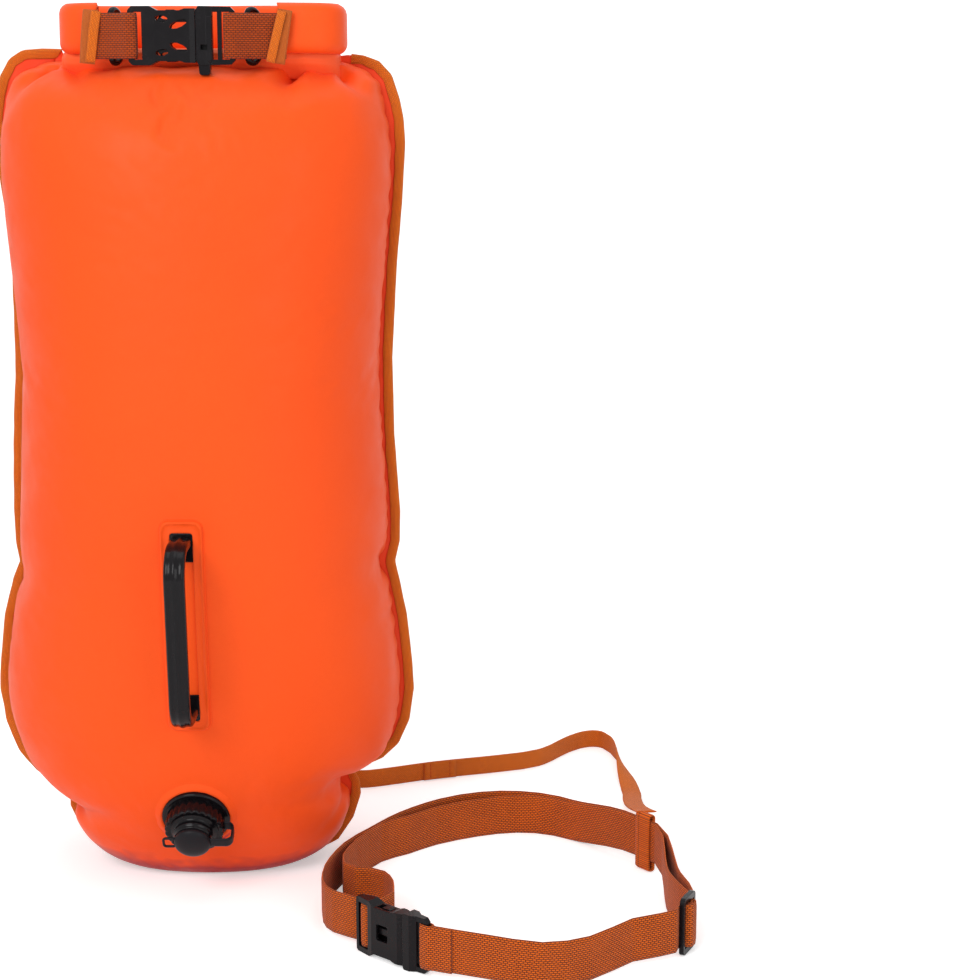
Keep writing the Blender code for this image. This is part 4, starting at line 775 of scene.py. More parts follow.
def swollen(grid, hold, marks, seed):
    """The skin after air has filled it: cloth that is slack along its seam and held at its edges."""
    n, m = grid.shape[:2]
    faces = grid_faces(n, m)
    mesh = bpy.data.meshes.new("swelling")
    start = grid.reshape(-1, 3).copy()
    for p in start:
        p[1] += START_ROUGHNESS * rough(p[0] * 160.0, p[1] * 160.0 + seed, p[2] * 160.0)
    mesh.from_pydata(start.tolist(), [], faces)
    cloth_object = bpy.data.objects.new("swelling", mesh)
    bpy.context.scene.collection.objects.link(cloth_object)
    if mesh.polygons[len(faces) // 2].normal.y < 0:
        mesh.flip_normals()
    held = cloth_object.vertex_groups.new(name="held")
    slack = cloth_object.vertex_groups.new(name="slack")
    seam = np.minimum(*seam_distances(grid))
    seam = np.minimum(seam, (marks[-1] - marks)[:, None] + 0.01)
    loose = fade(seam, SLACK_REACH)
    for k in range(n * m):
        i, j = divmod(k, m)
        if hold[i, j] >= 1.0:
            held.add([k], 1.0, "REPLACE")
        slack.add([k], float(loose[i, j]), "REPLACE")
    cloth = cloth_object.modifiers.new("cloth", "CLOTH")
    for setting, value in CLOTH_SETTINGS.items():
        setattr(cloth.settings, setting, value)
    cloth.settings.effector_weights.gravity = 0.0
    cloth.collision_settings.use_collision = False
    cloth.collision_settings.use_self_collision = False
    scene = bpy.context.scene
    for number in range(1, SWELL_FRAMES + 1):
        scene.frame_set(number)
    shown = cloth_object.evaluated_get(bpy.context.evaluated_depsgraph_get())
    places = np.empty(n * m * 3)
    shown.data.vertices.foreach_get("co", places)
    scene.frame_set(1)
    bpy.data.objects.remove(cloth_object, do_unlink=True)
    bpy.data.meshes.remove(mesh)
    move = places.reshape(n, m, 3) - grid
    low = blurred(move)
    wrinkle = (move - low) * WRINKLE_GAIN
    for part, cap in ((wrinkle, WRINKLE_CAP), (low, SWELL_CAP)):
        size = np.linalg.norm(part, axis=2)[:, :, None]
        part *= cap / np.maximum(size, cap)
    return grid + (wrinkle + low) * (1.0 - hold)[:, :, None]


# How much the pinches and folds below are deepened, and how near the edges they start
PINCH_GAIN = 2.1
FOLD_GAIN = 1.7
FOLD_MARGIN = 0.004
# Pinches that run in from the side notches: height, right or left, slope, depth, half width, length
PINCHES = (
    (0.0690, 1, 0.16, 0.0065, 0.0045, 0.060), (0.0640, 1, -0.45, 0.0030, 0.0050, 0.035),
    (0.0560, -1, -0.10, 0.0060, 0.0045, 0.050), (0.0600, -1, 0.45, 0.0030, 0.0050, 0.030),
    (0.2420, 1, 0.22, 0.0030, 0.0055, 0.040), (0.2380, 1, -0.30, 0.0018, 0.0060, 0.030),
    (0.2400, -1, -0.15, 0.0030, 0.0055, 0.036),
)
# Folds that run down from the neck: place, lean, depth, half width, length down the skin
NECK_FOLDS = (
    (-0.101, -0.50, 0.0070, 0.0050, 0.050), (-0.088, 0.35, 0.0045, 0.0045, 0.034),
    (-0.058, -0.15, 0.0018, 0.0080, 0.026), (-0.012, 0.10, 0.0014, 0.0100, 0.024),
    (0.040, -0.10, 0.0018, 0.0080, 0.026), (0.0740, 0.02, 0.0075, 0.0042, 0.040),
    (0.0830, -0.42, 0.0045, 0.0045, 0.026), (0.1050, 0.45, 0.0070, 0.0060, 0.055),
    (0.0950, 0.10, 0.0030, 0.0060, 0.030),
)
# Distance between the gathers along the seam, and their depth
PUCKER_PITCH = 0.0165
PUCKER_DEPTH = 0.0026


def fold_depth(grid, marks):
    """How far each point sinks in the pinches at the notches and in the neck's folds."""
    x, z = grid[:, :, 0], grid[:, :, 2]
    from_right, from_left = seam_distances(grid)
    sunk = np.zeros_like(x)
    for level, edge, slope, depth, width, length in PINCHES:
        seam = from_right if edge > 0 else from_left
        line = level + slope * seam + 0.003 * np.sin(seam / 0.010)
        wide = width * (0.7 + 0.9 * seam / length)
        sunk += PINCH_GAIN * depth * fade(z - line, wide) * fade(seam, length, 1.5)
    down = (marks[-1] - marks)[:, None]
    for place, slope, depth, width, length in NECK_FOLDS:
        line = place + slope * down + 0.0015 * np.sin(down / 0.008)
        wide = width * (0.6 + 1.1 * down / length)
        sunk += FOLD_GAIN * depth * fade(x - line, wide) * fade(down, length, 1.6)
    ends = np.clip(np.minimum(from_right, from_left) / FOLD_MARGIN, 0.0, 1.0)
    return sunk * ends * np.clip(down / FOLD_MARGIN, 0.0, 1.0)


def pucker_depth(grid, seed):
    """Small gathers of the fabric along its seam, where the slack goes."""
    rows = grid[:, 0, 2]
    sunk = np.zeros(grid.shape[:2])
    for seam, phase in zip(seam_distances(grid), (seed, seed + 40.0)):
        wander = np.array([rough(z * 26.0, phase, 0.3) for z in rows])
        swell = np.array([rough(z * 17.0, phase, 7.3) for z in rows])
        ripple = np.abs(np.sin(math.pi * (rows / PUCKER_PITCH + 1.1 * wander)))[:, None]
        size = (PUCKER_DEPTH + PUCKER_DEPTH * np.clip(swell, -0.7, 1.0))[:, None]
        reach = (0.015 + 0.018 * np.clip(swell, 0.0, 1.0))[:, None]
        sunk += size * (1.0 - ripple) * fade(seam, reach, 1.4) * np.clip(seam / 0.003, 0.0, 1.0)
    return sunk


def make_skin(name, side, grid, marks):
    """The outer skin of a chamber, closed, finely divided and swollen by air; gives its search tree."""
    hold = fitting_hold(grid, side)
    shape = grid.copy()
    shape = swollen(grid, hold, marks, 3.0 * side)
    across = np.gradient(shape, axis=1)
    down = np.gradient(shape, axis=0)
    normal = np.cross(down, across)
    normal /= np.maximum(np.linalg.norm(normal, axis=2), 1e-9)[:, :, None]
    normal *= np.sign(normal[len(grid) // 2, SKIN_COLUMNS // 2, 1])
    edges = hold.copy()
    edges[:, 0] = edges[:, -1] = 0.0
    sunk = (fold_depth(grid, marks) + pucker_depth(grid, 11.0 * side)) * (1.0 - edges)
    shape = shape - normal * sunk[:, :, None]
    rows = []
    inner = CHAMBER_INNER_FACE
    for share in (0.02, 0.2, 0.4, 0.6, 0.8):
        rows.append([(p[0] * share, inner + (p[1] - inner) * share, p[2]) for p in shape[0]])
    rows += [[tuple(p) for p in row] for row in shape]
    for step in range(1, 7):
        share = step / 6
        rows.append([(p[0] * (1 - 0.10 * share), inner + (p[1] - inner) * (1 - share) ** 0.8,
                      p[2] + 0.0026 * math.sin(share * math.pi / 2)) for p in shape[-1]])
    rows = np.array(rows)
    rows[:, :, 1] *= -side
    n, m = rows.shape[:2]
    back = [(i * m, (i + 1) * m, (i + 1) * m + m - 1, i * m + m - 1) for i in range(n - 1)]
    mesh = bpy.data.meshes.new("skin")
    mesh.from_pydata(rows.reshape(-1, 3).tolist(), [], grid_faces(n, m) + back)
    finished(mesh)
    piece = add_piece(name + "_skin", mesh, FABRIC, "buoy", [name])
    finer = piece.modifiers.new("finer", "SUBSURF")
    finer.levels = 1
    finer.render_levels = 1
    return BVHTree.FromPolygons([v.co for v in mesh.vertices], [tuple(p.vertices) for p in mesh.polygons])


front_grid, skin_marks = skin_grid()
skin_trees = {
    1: make_skin("front_chamber", 1, front_grid, skin_marks),
    -1: make_skin("back_chamber", -1, front_grid, skin_marks),
}


# The edge of the bag's wall and the tape over it
EDGE_SPACING = 0.003
EDGE_WAVE = 0.0022
# Steps from the wall's edge inward, with the share of the wave that each keeps
WALL_STEPS = ((0.0, 1.0), (0.005, 0.8), (0.010, 0.35), (0.016, 0.0))
TAPE_REACH = 0.0062
TAPE_WALL = 0.0008
WALL_HALF = 0.0007
# Half of the tape's section: shares of its reach inward and of its half thickness
TAPE_SECTION = (
    (1.0, 0.40), (1.0, 0.95), (0.80, 0.80), (0.62, 1.10), (0.35, 1.20), (0.10, 1.15),
    (-0.0006 / TAPE_REACH, 0.85), (-0.0011 / TAPE_REACH, 0.0),
)
TAPE_ENDS = {"binding_right": 0.1125, "binding_left": 0.0995}
TAPE_START = 0.006
NECK_LINE = 0.6185


def edge_wave(length):
    """How far the limp edge stands out of the middle plane at a length along it."""
    return EDGE_WAVE * (rough(length * 30.0, 0.0, 5.0) + 0.5 * rough(length * 80.0, 4.0, 0.0))


def make_wall_and_tape():
    """The bag's wall with its limp wavy edge, and the woven tape folded over each side."""
    rim = resampled_ring(rim_points("dry_bag", (0, -1, 0)), EDGE_SPACING)
    count = len(rim)
    ways = ways_of(rim * (1.0, 0.0, 1.0), closed=True)
    inward = np.stack([-ways[:, 2], np.zeros(count), ways[:, 0]], axis=1)
    if np.einsum("ij,ij->i", np.array([0.0, 0.0, 0.3]) - rim, inward).mean() < 0:
        inward = -inward
    inward = softened_ring(inward, 2)
    waves = np.array([edge_wave(k * EDGE_SPACING) for k in range(count)])
    work = bmesh.new()
    layers = []
    for offset, wave in WALL_STEPS:
        layers.append([work.verts.new((p[0] + n[0] * offset, w * wave, p[2] + n[2] * offset))
                       for p, n, w in zip(rim, inward, waves)])
    for outer, inside in zip(layers, layers[1:]):
        for i in range(count):
            k = (i + 1) % count
            work.faces.new((outer[i], outer[k], inside[k], inside[i])).smooth = True
    last = set(layers[-1])
    border = [edge for edge in work.edges if last.issuperset(edge.verts)]
    bmesh.ops.triangle_fill(work, use_beauty=True, edges=border)
    bmesh.ops.recalc_face_normals(work, faces=work.faces)
    mesh = bpy.data.meshes.new("bag_wall")
    work.to_mesh(mesh)
    work.free()
    thicken(add_piece("bag_wall", mesh, SHADED_WALL_FABRIC, "buoy", ["dry_bag"]), 2 * WALL_HALF)
    for name, sign in (("binding_right", 1), ("binding_left", -1)):
        taped = [sign * p[0] > TAPE_START and not (p[2] > NECK_LINE and sign * p[0] < TAPE_ENDS[name])
                 for p in rim]
        start = next(i for i in range(count) if taped[i] and not taped[i - 1])
        order = []
        while taped[(start + len(order)) % count] and len(order) < count:
            order.append((start + len(order)) % count)
        make_tape(name, rim[order], inward[order], waves[order])


def make_tape(name, line, inward, waves):
    """Woven tape folded over an edge, pressed in along its two seams."""
    section = [(a * TAPE_REACH, b * (WALL_HALF + TAPE_WALL)) for a, b in TAPE_SECTION]
    ring = section + [(a, -b) for a, b in reversed(section[:-1])]
    rows = []
    for k, (point, way, wave) in enumerate(zip(line, inward, waves)):
        gather = 1.0 + 0.14 * rough(k * EDGE_SPACING * 70.0, 9.0, 1.0)
        rows.append([(point[0] + way[0] * a * gather, wave * (0.6 if a > 0.5 * TAPE_REACH else 1.0) + b,
                      point[2] + way[2] * a * gather) for a, b in ring])
    add_piece(name + "_tape", loft(rows, ring_closed=False), TAPE, "buoy", [name])


make_wall_and_tape()

# The fabric of the neck between the chambers and the roll: height, left and right reach, front, back
NECK_RINGS = (
    (0.6070, 0.0960, 0.1080, -0.0420, 0.0420), (0.6130, 0.0955, 0.1078, -0.0480, 0.0440),
    (0.6180, 0.0950, 0.1076, -0.0535, 0.0440), (0.6220, 0.0945, 0.1074, -0.0555, 0.0420),
    (0.6255, 0.0930, 0.1070, -0.0550, 0.0320), (0.6280, 0.0890, 0.1050, -0.0520, 0.0220),
    (0.6290, 0.0800, 0.0980, -0.0430, 0.0120), (0.6285, 0.0500, 0.0650, -0.0280, -0.0020),
    (0.6280, 0.0200, 0.0300, -0.0180, -0.0100),
)
NECK_LEVELS = 33
NECK_POWER = 5.0
NECK_STEPS = 220
# Distance between the neck's pleats, and their depth
PLEAT_PITCH = 0.017
PLEAT_DEPTH = 0.0016


def make_neck():
    """The gathered neck of the dry bag, pleated, narrowing and leaning forward toward its top."""
    rows = []
    for place in np.linspace(0, len(NECK_RINGS) - 1, NECK_LEVELS):
        low = min(int(place), len(NECK_RINGS) - 2)
        t = place - low
        height, left, right, front, back = (
            a + (b - a) * t for a, b in zip(NECK_RINGS[low], NECK_RINGS[low + 1]))
        middle, deep = (front + back) / 2, (back - front) / 2
        row = []
        for angle in circle(NECK_STEPS):
            c, s = math.cos(angle), math.sin(angle)
            reach = (abs(c) ** NECK_POWER + abs(s) ** NECK_POWER) ** (-1 / NECK_POWER)
            x = (right if c > 0 else left) * c * reach
            y = middle + deep * s * reach
            pleat = abs(math.sin(math.pi * (x / PLEAT_PITCH + 1.6 * rough(x * 26.0, y * 26.0, 2.0))))
            size = PLEAT_DEPTH * math.sin(math.pi * min(1.0, place / 6)) * (0.4 + abs(x) / 0.10)
            drop = size * (1 - pleat)
            shrink = 1 - drop / max(deep, 0.02)
            row.append((x, middle + (y - middle) * shrink, height - 0.4 * drop))
        rows.append(row)
    piece = add_piece("bag_neck", loft(rows), NECK_FABRIC, None, ["dry_bag"])
    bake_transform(piece)


make_neck()


# The roll's winding: its innermost radius, rise for each turn, thickness and number of half turns
ROLL_FIRST_RADIUS = 0.0019
ROLL_PITCH = 0.0022
ROLL_FABRIC = 0.0011
ROLL_HALF_TURNS = 5.5
# Lifts the winding's underside clear of the neck
ROLL_LIFT = 0.0009
ROLL_SAG = 0.0011
# How much the straps press in, how far from the roll's ends, and over what reach
ROLL_PULL = (0.0012, 0.022, 0.010)
ROLL_FOLD = 0.0007
# How uneven the roll's ends are, and over what reach
ROLL_UNEVEN = (0.0022, 0.006)


def make_roll():
    """The rolled neck: one sheet wound flat round its stiffener, with uneven ends and pulls at the straps."""
    path = resampled(filleted([
        (ROLL_LEFT_TIP, ROLL_FRONT, 0), (ROLL_LEFT, ROLL_FRONT, 0), (ROLL_LEFT, 0, 0),
        (ROLL_RIGHT, 0, 0), (ROLL_RIGHT, ROLL_FRONT, 0), (ROLL_RIGHT_TIP, ROLL_FRONT, 0),
    ], ROLL_BEND, 12), spacing=0.0028)
    ways = ways_of(path)
    right = np.stack([ways[:, 1], -ways[:, 0], np.zeros(len(ways))], axis=1)
    lengths = travel(path)
    total = lengths[-1]
    spiral = []
    for half in range(math.ceil(ROLL_HALF_TURNS)):
        centre = ROLL_CORE if half % 2 == 0 else -ROLL_CORE
        span = min(1.0, ROLL_HALF_TURNS - half)
        for point in range(9):
            angle = math.pi * (half + span * point / 8)
            radius = ROLL_FIRST_RADIUS + ROLL_PITCH * angle / math.tau
            spiral.append((radius * math.cos(angle), centre + radius * math.sin(angle), angle))
    lift = ROLL_BOTTOM + ROLL_LIFT - min(z for _, z, _ in spiral)
    depth, place, reach = ROLL_PULL
    rows = []
    for p, r, w, s in zip(path, right, ways, lengths):
        end = min(s, total - s)
        row = []
        for across, up, angle in spiral:
            outer = angle / (math.pi * ROLL_HALF_TURNS)
            sag = ROLL_SAG * rough(s * 16.0, up * 22.0, 1.0 if across > 0 else 5.0) * outer
            pull = -depth * math.exp(-((end - place) / reach) ** 2) * outer
            fold = -ROLL_FOLD * abs(rough(s * 42.0, up * 60.0, 9.0)) * outer
            grow = across * (1.0 + (sag + pull + fold) / max(math.hypot(across, 0.006), 0.006))
            uneven = ROLL_UNEVEN[0] * rough(angle * 0.7, 3.0 if s < total / 2 else 8.0, 0.0)
            shift = uneven * math.exp(-(end / ROLL_UNEVEN[1]) ** 2)
            row.append((p[0] + r[0] * grow + w[0] * shift, p[1] + r[1] * grow + w[1] * shift,
                        up * (1 + 0.04 * sag / ROLL_SAG) + lift))
        rows.append(row)
    piece = add_piece("rolled_neck", loft(rows, ring_closed=False), FABRIC, "closure", ["roll"])
    thicken(piece, ROLL_FABRIC)


make_roll()


def dress(names, material):
    """Give CAD nodes a finished material."""
    for name in names:
        node = NODES[name]
        node.data.materials.clear()
        node.data.materials.append(material)


dress(("roll_buckle_housing", "roll_buckle_plug", "roll_prong_upper", "roll_prong_lower",
       "belt_buckle_housing", "belt_buckle_plug", "belt_prong_upper", "belt_prong_lower",
       "belt_slider"), MOULDED)
dress(("roll_stiffener", "valve_flap_front", "valve_flap_back"), RUBBER)

# The rings' own values, as in the part's source: place on the joint and turn
D_RING_WIRE = 0.0045
D_RING_HALF_HEIGHT = 0.01875
D_RING_DEPTH = 0.01775
D_RING_ARM = 0.0062
D_RING_CORNER = (0.0010, D_RING_HALF_HEIGHT - 0.0008)
D_RINGS = {
    "left": ((-0.0515, -0.0660, 0.6370), math.radians(72.5)),
    "right": ((0.0455, -0.0660, 0.6370), math.radians(60)),
}


def make_d_rings():
    """The two wire rings, round and with eased corners."""
    across, high = D_RING_CORNER
    corners = [(0.0, -0.0150), (0.0, 0.0), (0.0, 0.0150), (across, high)]
    for angle in np.radians(np.linspace(90, -90, 13)):
        corners.append((D_RING_ARM + (D_RING_DEPTH - D_RING_ARM) * math.cos(angle),
                        D_RING_HALF_HEIGHT * math.sin(angle)))
    corners.append((across, -high))
    for label, (place, turn) in D_RINGS.items():
        joint = Matrix.Translation(place) @ Matrix.Rotation(turn, 4, "Z")
        line = resampled_ring([joint @ Vector((x, 0.0, z)) for x, z in corners], 0.0014)
        add_piece("ring_" + label, tube(softened_ring(line, 3), D_RING_WIRE / 2), GLOSSY,
                  "ring_" + label, ["d_ring_" + label])


make_d_rings()

# How far the straps of the roll are trimmed under their tabs
STRAP_ENDS = (-0.0690, 0.0735)


def make_strips():
    """The flat webbing of the belt and of the roll's closure, from the CAD strips' middle lines."""
    lines = {}
    for name, body in (("belt_webbing", "buoy"), ("belt_tail", "buoy"),
                       ("roll_strap_left", "closure"), ("roll_strap_right", "closure")):
        line = centreline(name)
        line[:, 2] -= WIDE_WEBBING / 2
        points = softened(resampled(line, STRIP_SPACING / 3), 1)
        if body == "closure":
            points = points[(points[:, 0] > STRAP_ENDS[0]) & (points[:, 0] < STRAP_ENDS[1])]
        add_piece(name + "_strip", ribbon(points, WIDE_WEBBING, WEBBING),
                  WOVEN if body == "buoy" else STRAP, body, [name])
        lines[name] = points
    return lines


strip_lines = make_strips()

# The folded tabs at the roll's tips: name, side, place, width, lean to the right at the top
TABS = (
    ("left", -1, -0.0665, 0.0110, 0.0035),
    ("right", 1, 0.0700, 0.0105, 0.0060),
)
# Their two layers: shift to the side, share of the width, step forward, turn, lean, height, tape
TAB_LAYERS = (
    (0.0, 1.0, 0.0, 0.10, 1.0, 0.0375, FOLDED),
    (-0.0035, 0.62, 0.0018, -0.22, 1.5, 0.0375 * 0.95, TAPE),
)
TAB_FACE = -0.0702
TAB_THICKNESS = 0.0014
TAB_CURL = 0.0012


def make_tabs():
    """The folded tape that holds each strap to the roll's tip, standing a little slanted."""
    for label, sign, place, width, slant in TABS:
        for number, (shift, wide, out, way, tilt, high, tape) in enumerate(TAB_LAYERS):
            line = []
            for t in np.linspace(-0.5, 0.5, 16):
                curl = TAB_CURL * (math.cos(t * math.pi) + 0.5 * rough(t * 3.0, number, sign))
                line.append((place + sign * shift + slant * t * tilt, TAB_FACE - out - curl,
                             STRAP_HEIGHT - 0.0005 + high * t))
            name = f"roll_tab_{label}_{number}"
            mesh = ribbon(np.array(line), wide * width, TAB_THICKNESS, tall=(1.0, sign * way, 0.0))
            add_piece(name, mesh, tape, "closure", ["roll_strap_" + label])


make_tabs()


def turned(place, side):
    """A point of the front side, or the same point of the back side."""
    return place if side > 0 else (-place[0], -place[1], place[2])


def on_skin(x, z, lift, side):
    """A point at a height over a chamber's skin, beside the middle line of its fittings."""
    x += FITTING_X
    return turned((x, -(skin_depth(side * x, z) + lift), z), side)


def outline_points(half_width, bottom, top, corner, count):
    """Evenly spaced points round a rectangle with round corners, from the middle of its right side."""
    middle = (0.0, (top + bottom) / 2)
    points = rounded_rectangle(half_width, (top - bottom) / 2, corner, 8, middle)
    return resampled_ring([(half_width, middle[1])] + points, count=count)


# The patch from its slot outward: share of the way, lift over the skin
PATCH_PROFILE = (
    (0.00, -0.0002), (0.00, 0.0019), (0.06, 0.0026), (0.16, 0.0024), (0.34, 0.0020), (0.58, 0.0018),
    (0.70, 0.0022), (0.80, 0.0030), (0.88, 0.0031), (0.95, 0.0020), (1.00, 0.0004), (1.02, -0.0004),
)
PATCH_POINTS = 260


def make_patch(label, side):
    """The welded patch over the handle's pads: a draped sheet with a raised rim and a slot."""
    outer = outline_points(PATCH_HALF_WIDTH, PATCH_BOTTOM, PATCH_TOP, PATCH_CORNER, PATCH_POINTS)
    inner = outline_points(SLOT_HALF_WIDTH, SLOT_BOTTOM, SLOT_TOP, SLOT_CORNER, PATCH_POINTS)
    rows = []
    for share, lift in PATCH_PROFILE:
        row = []
        for x, z in inner + (outer - inner) * share:
            ripple = FITTING_RIPPLE * rough(x * 90.0, z * 60.0, 4.0 + side)
            row.append(on_skin(x, z, lift + ripple, side))
        rows.append(row)
    add_piece("patch_" + label, loft(rows, caps=False), FABRIC, "buoy", ["handle_patch_" + label])


# The ridge along the handle and the grooves beside it: height or depth, place, half width
HANDLE_RIDGE = (0.0007, 0.0, 0.0016)
HANDLE_GROOVE = (0.0004, 0.0038, 0.0018)
# The pads' middles from the handle's own ends, and their profile: share of the way out, of the thickness
PAD_PLACES = (HANDLE_TOP - 0.004, HANDLE_BOTTOM + 0.002)
PAD_PROFILE = ((0.04, 1.0), (0.3, 1.0), (0.6, 1.0), (0.85, 1.0), (0.94, 0.95), (1.0, 0.6), (1.0, 0.0))


def handle_section():
    """The handle's section as offsets across and outward, with eased edges and a ridge along its middle."""
    base = rounded_rectangle(HANDLE_WIDTH / 2, HANDLE_THICKNESS / 2, 0.0028, 6)
    line = resampled_ring(base, count=48)
    across = np.abs(line[:, 0])
    ridge, groove = (size * fade(across - place, wide) for size, place, wide in (HANDLE_RIDGE, HANDLE_GROOVE))
    line[:, 1] += np.where(line[:, 1] > 0, ridge - groove, 0.0)
    return line


def make_handle(label, side):
    """The moulded strap that arches out of the slot, with its pads."""
    roots = [skin_depth(side * FITTING_X, z) + GAP + PAD_THICKNESS / 2 for z in (HANDLE_TOP, HANDLE_BOTTOM)]
    path = resampled(filleted([
        (roots[0], HANDLE_TOP, 0), (roots[0] + HANDLE_REACH, HANDLE_TOP, 0),
        (roots[1] + HANDLE_REACH, HANDLE_BOTTOM, 0), (roots[1], HANDLE_BOTTOM, 0),
    ], HANDLE_BEND, 14), spacing=0.0022)
    section = handle_section()
    rows = [[turned((FITTING_X + across, -(p[0] - w[1] * away), p[1] + w[0] * away), side)
             for across, away in section] for p, w in zip(path, ways_of(path))]
    add_piece("grip_" + label, loft(rows), GLOSSY, "buoy", ["handle_" + label])
    for number, middle in enumerate(PAD_PLACES):
        outline = outline_points(PAD_HALF_WIDTH, middle - PAD_HALF_HEIGHT, middle + PAD_HALF_HEIGHT,
                                 PAD_CORNER, PAD_POINTS)
        rows = [[on_skin(x * share, middle + (z - middle) * share, GAP + lift * PAD_THICKNESS, side)
                 for x, z in outline] for share, lift in PAD_PROFILE]
        add_piece(f"pad_{label}_{number}", loft(rows), GLOSSY, "buoy", ["handle_" + label])


def valve_place(side):
    """Frame of a valve: +Z out of the fabric, +X to the right of someone facing the valve."""
    middle = side * FITTING_X
    outward = Vector((0, -side * math.cos(VALVE_TILT), -math.sin(VALVE_TILT)))
    x_axis = Vector((side, 0, 0))
    matrix = Matrix((x_axis, outward.cross(x_axis), outward)).transposed().to_4x4()
    matrix.translation = Vector((middle, -side * skin_depth(middle, VALVE_HEIGHT), VALVE_HEIGHT))
    return matrix


FLANGE_PROFILE = (
    (0.0150, -0.0060), (0.0253, -0.0060), (0.0255, 0.0008), (0.0253, 0.0014), (0.0247, 0.0019),
    (0.0236, 0.0021), (0.0228, 0.0019), (0.0220, 0.0022), (0.0200, 0.0024), (0.0195, 0.0030),
    (0.0195, 0.0088), (0.0193, 0.0090), (0.0134, 0.0090), (0.0130, 0.0086), (0.0130, 0.0030),
)
RING_PROFILE = (
    (0.0198, 0.0029), (0.0212, 0.0026), (0.0218, 0.0028), (0.0220, 0.0034), (0.0220, 0.0142),
    (0.0218, 0.0148), (0.0212, 0.0150), (0.0188, 0.0151), (0.0183, 0.0147), (0.0170, 0.0147),
    (0.0165, 0.0152), (0.0152, 0.0154), (0.0145, 0.0160), (0.0140, 0.0172), (0.0140, 0.0186),
    (0.0148, 0.0190), (0.0151, 0.0196), (0.0151, 0.0206), (0.0148, 0.0212), (0.0140, 0.0216),
    (0.0139, 0.0232), (0.0137, 0.0238), (0.0132, 0.0240), (0.0090, 0.0240), (0.0085, 0.0236),
    (0.0085, 0.0140), (0.0120, 0.0140), (0.0120, 0.0093), (0.0198, 0.0093),
)
CAP_PROFILE = (
    (0.0001, 0.0313), (0.0030, 0.0312), (0.0060, 0.0309), (0.0090, 0.0302), (0.0112, 0.0293),
    (0.0126, 0.0283), (0.0133, 0.0274), (0.0135, 0.0266), (0.0135, 0.0250), (0.0133, 0.0245),
    (0.0128, 0.0243), (0.0081, 0.0243), (0.0081, 0.0208), (0.0078, 0.0205), (0.0001, 0.0205),
)
VALVE_STEPS = 120
VALVE_RIM_STEPS = 96
GRIP_TEETH = 24
GRIP_DEPTH = 0.035
GRIP_WALL = 0.0005
VALVE_RIM = ((0.0246, 0.0004), (0.0252, 0.0016), (0.0262, 0.0022), (0.0276, 0.0020), (0.0290, 0.0010),
             (0.0304, 0.0003), (0.0312, -0.0004))


# The eye at the cap's side with its wire, and the strap from the ring's foot up to the cap's level
EYE_PLACE = -0.0170
EYE_WIRE = 0.0010
STRAP_LEVEL = 0.0257
STRAP_ROUTE = (
    (0.0219, 0.0085, 0), (0.0290, 0.0085, 0), (0.0290, STRAP_LEVEL, 0), (0.0125, STRAP_LEVEL, 0),
)
STRAP_BEND = 0.0045


def make_valve(label, side):
    """The valve's flange, ring, cap and strap, turned finely, and the fabric welded round the flange."""
    place = valve_place(side)
    outward = place.to_3x3() @ UP
    rows = []
    for radius, lift in VALVE_RIM:
        row = []
        for angle in circle(VALVE_RIM_STEPS):
            c, s = math.cos(angle), math.sin(angle)
            hit = skin_trees[side].ray_cast(place @ Vector((radius * c, radius * s, 0.03)), -outward)[0]
            ripple = FITTING_RIPPLE * rough(6 * c, 6 * s, radius * 300)
            row.append(hit + outward * (lift + ripple))
        rows.append(row)
    eye = [place @ Vector((EYE_PLACE + x, y, STRAP_LEVEL))
           for x, y in rounded_rectangle(0.0044, 0.0042, 0.0020, 5)]
    path = filleted(STRAP_ROUTE, STRAP_BEND, 8)
    line = resampled([place @ Vector((x, 0.0, z)) for x, z, _ in path], spacing=0.0011)
    strap = ribbon(line, 0.0080, 0.0016, tall=tuple(place.to_3x3() @ Vector((0, 1, 0))))
    ring, lid = "valve_ring_" + label, "valve_lid_" + label
    for name, mesh, material, body, slot, node in (
        ("valve_rim_" + label, loft(rows, caps=False), FABRIC, "buoy", "fabric", label + "_chamber"),
        ("valve_flange_" + label, lathe(FLANGE_PROFILE, VALVE_STEPS, place),
         GLOSSY, "buoy", "moulding", "valve_base_" + label),
        (ring, lathe(RING_PROFILE, VALVE_STEPS * 2, place, teeth=GRIP_TEETH),
         GLOSSY, ring, "moulding", "valve_body_" + label),
        (lid, lathe(CAP_PROFILE, VALVE_STEPS, place, closed=False),
         RUBBER, lid, "moulding", "valve_cap_" + label),
        ("valve_eye_" + label, tube(resampled_ring(eye, 0.0008), EYE_WIRE),
         RUBBER, lid, "moulding", "valve_cap_" + label),
        ("valve_strap_" + label, strap, RUBBER, ring, "rubber", "valve_tether_" + label),
    ):
        add_piece(name, mesh, material, body, [node])


for fitting_label, fitting_side in (("front", 1), ("back", -1)):
    make_patch(fitting_label, fitting_side)
    make_handle(fitting_label, fitting_side)
    make_valve(fitting_label, fitting_side)

# The leash's sewn loop on the belt and its hitch on the handle, as in the part's source
LOOP_PLACE = Vector((0.3399, -0.0320, 0.0250))
LOOP_WAY = Vector((-0.62, 0.785, 0.0)).normalized()
LOOP_HALF_HEIGHT = 0.0225


LOOP_SPACING = 0.0012


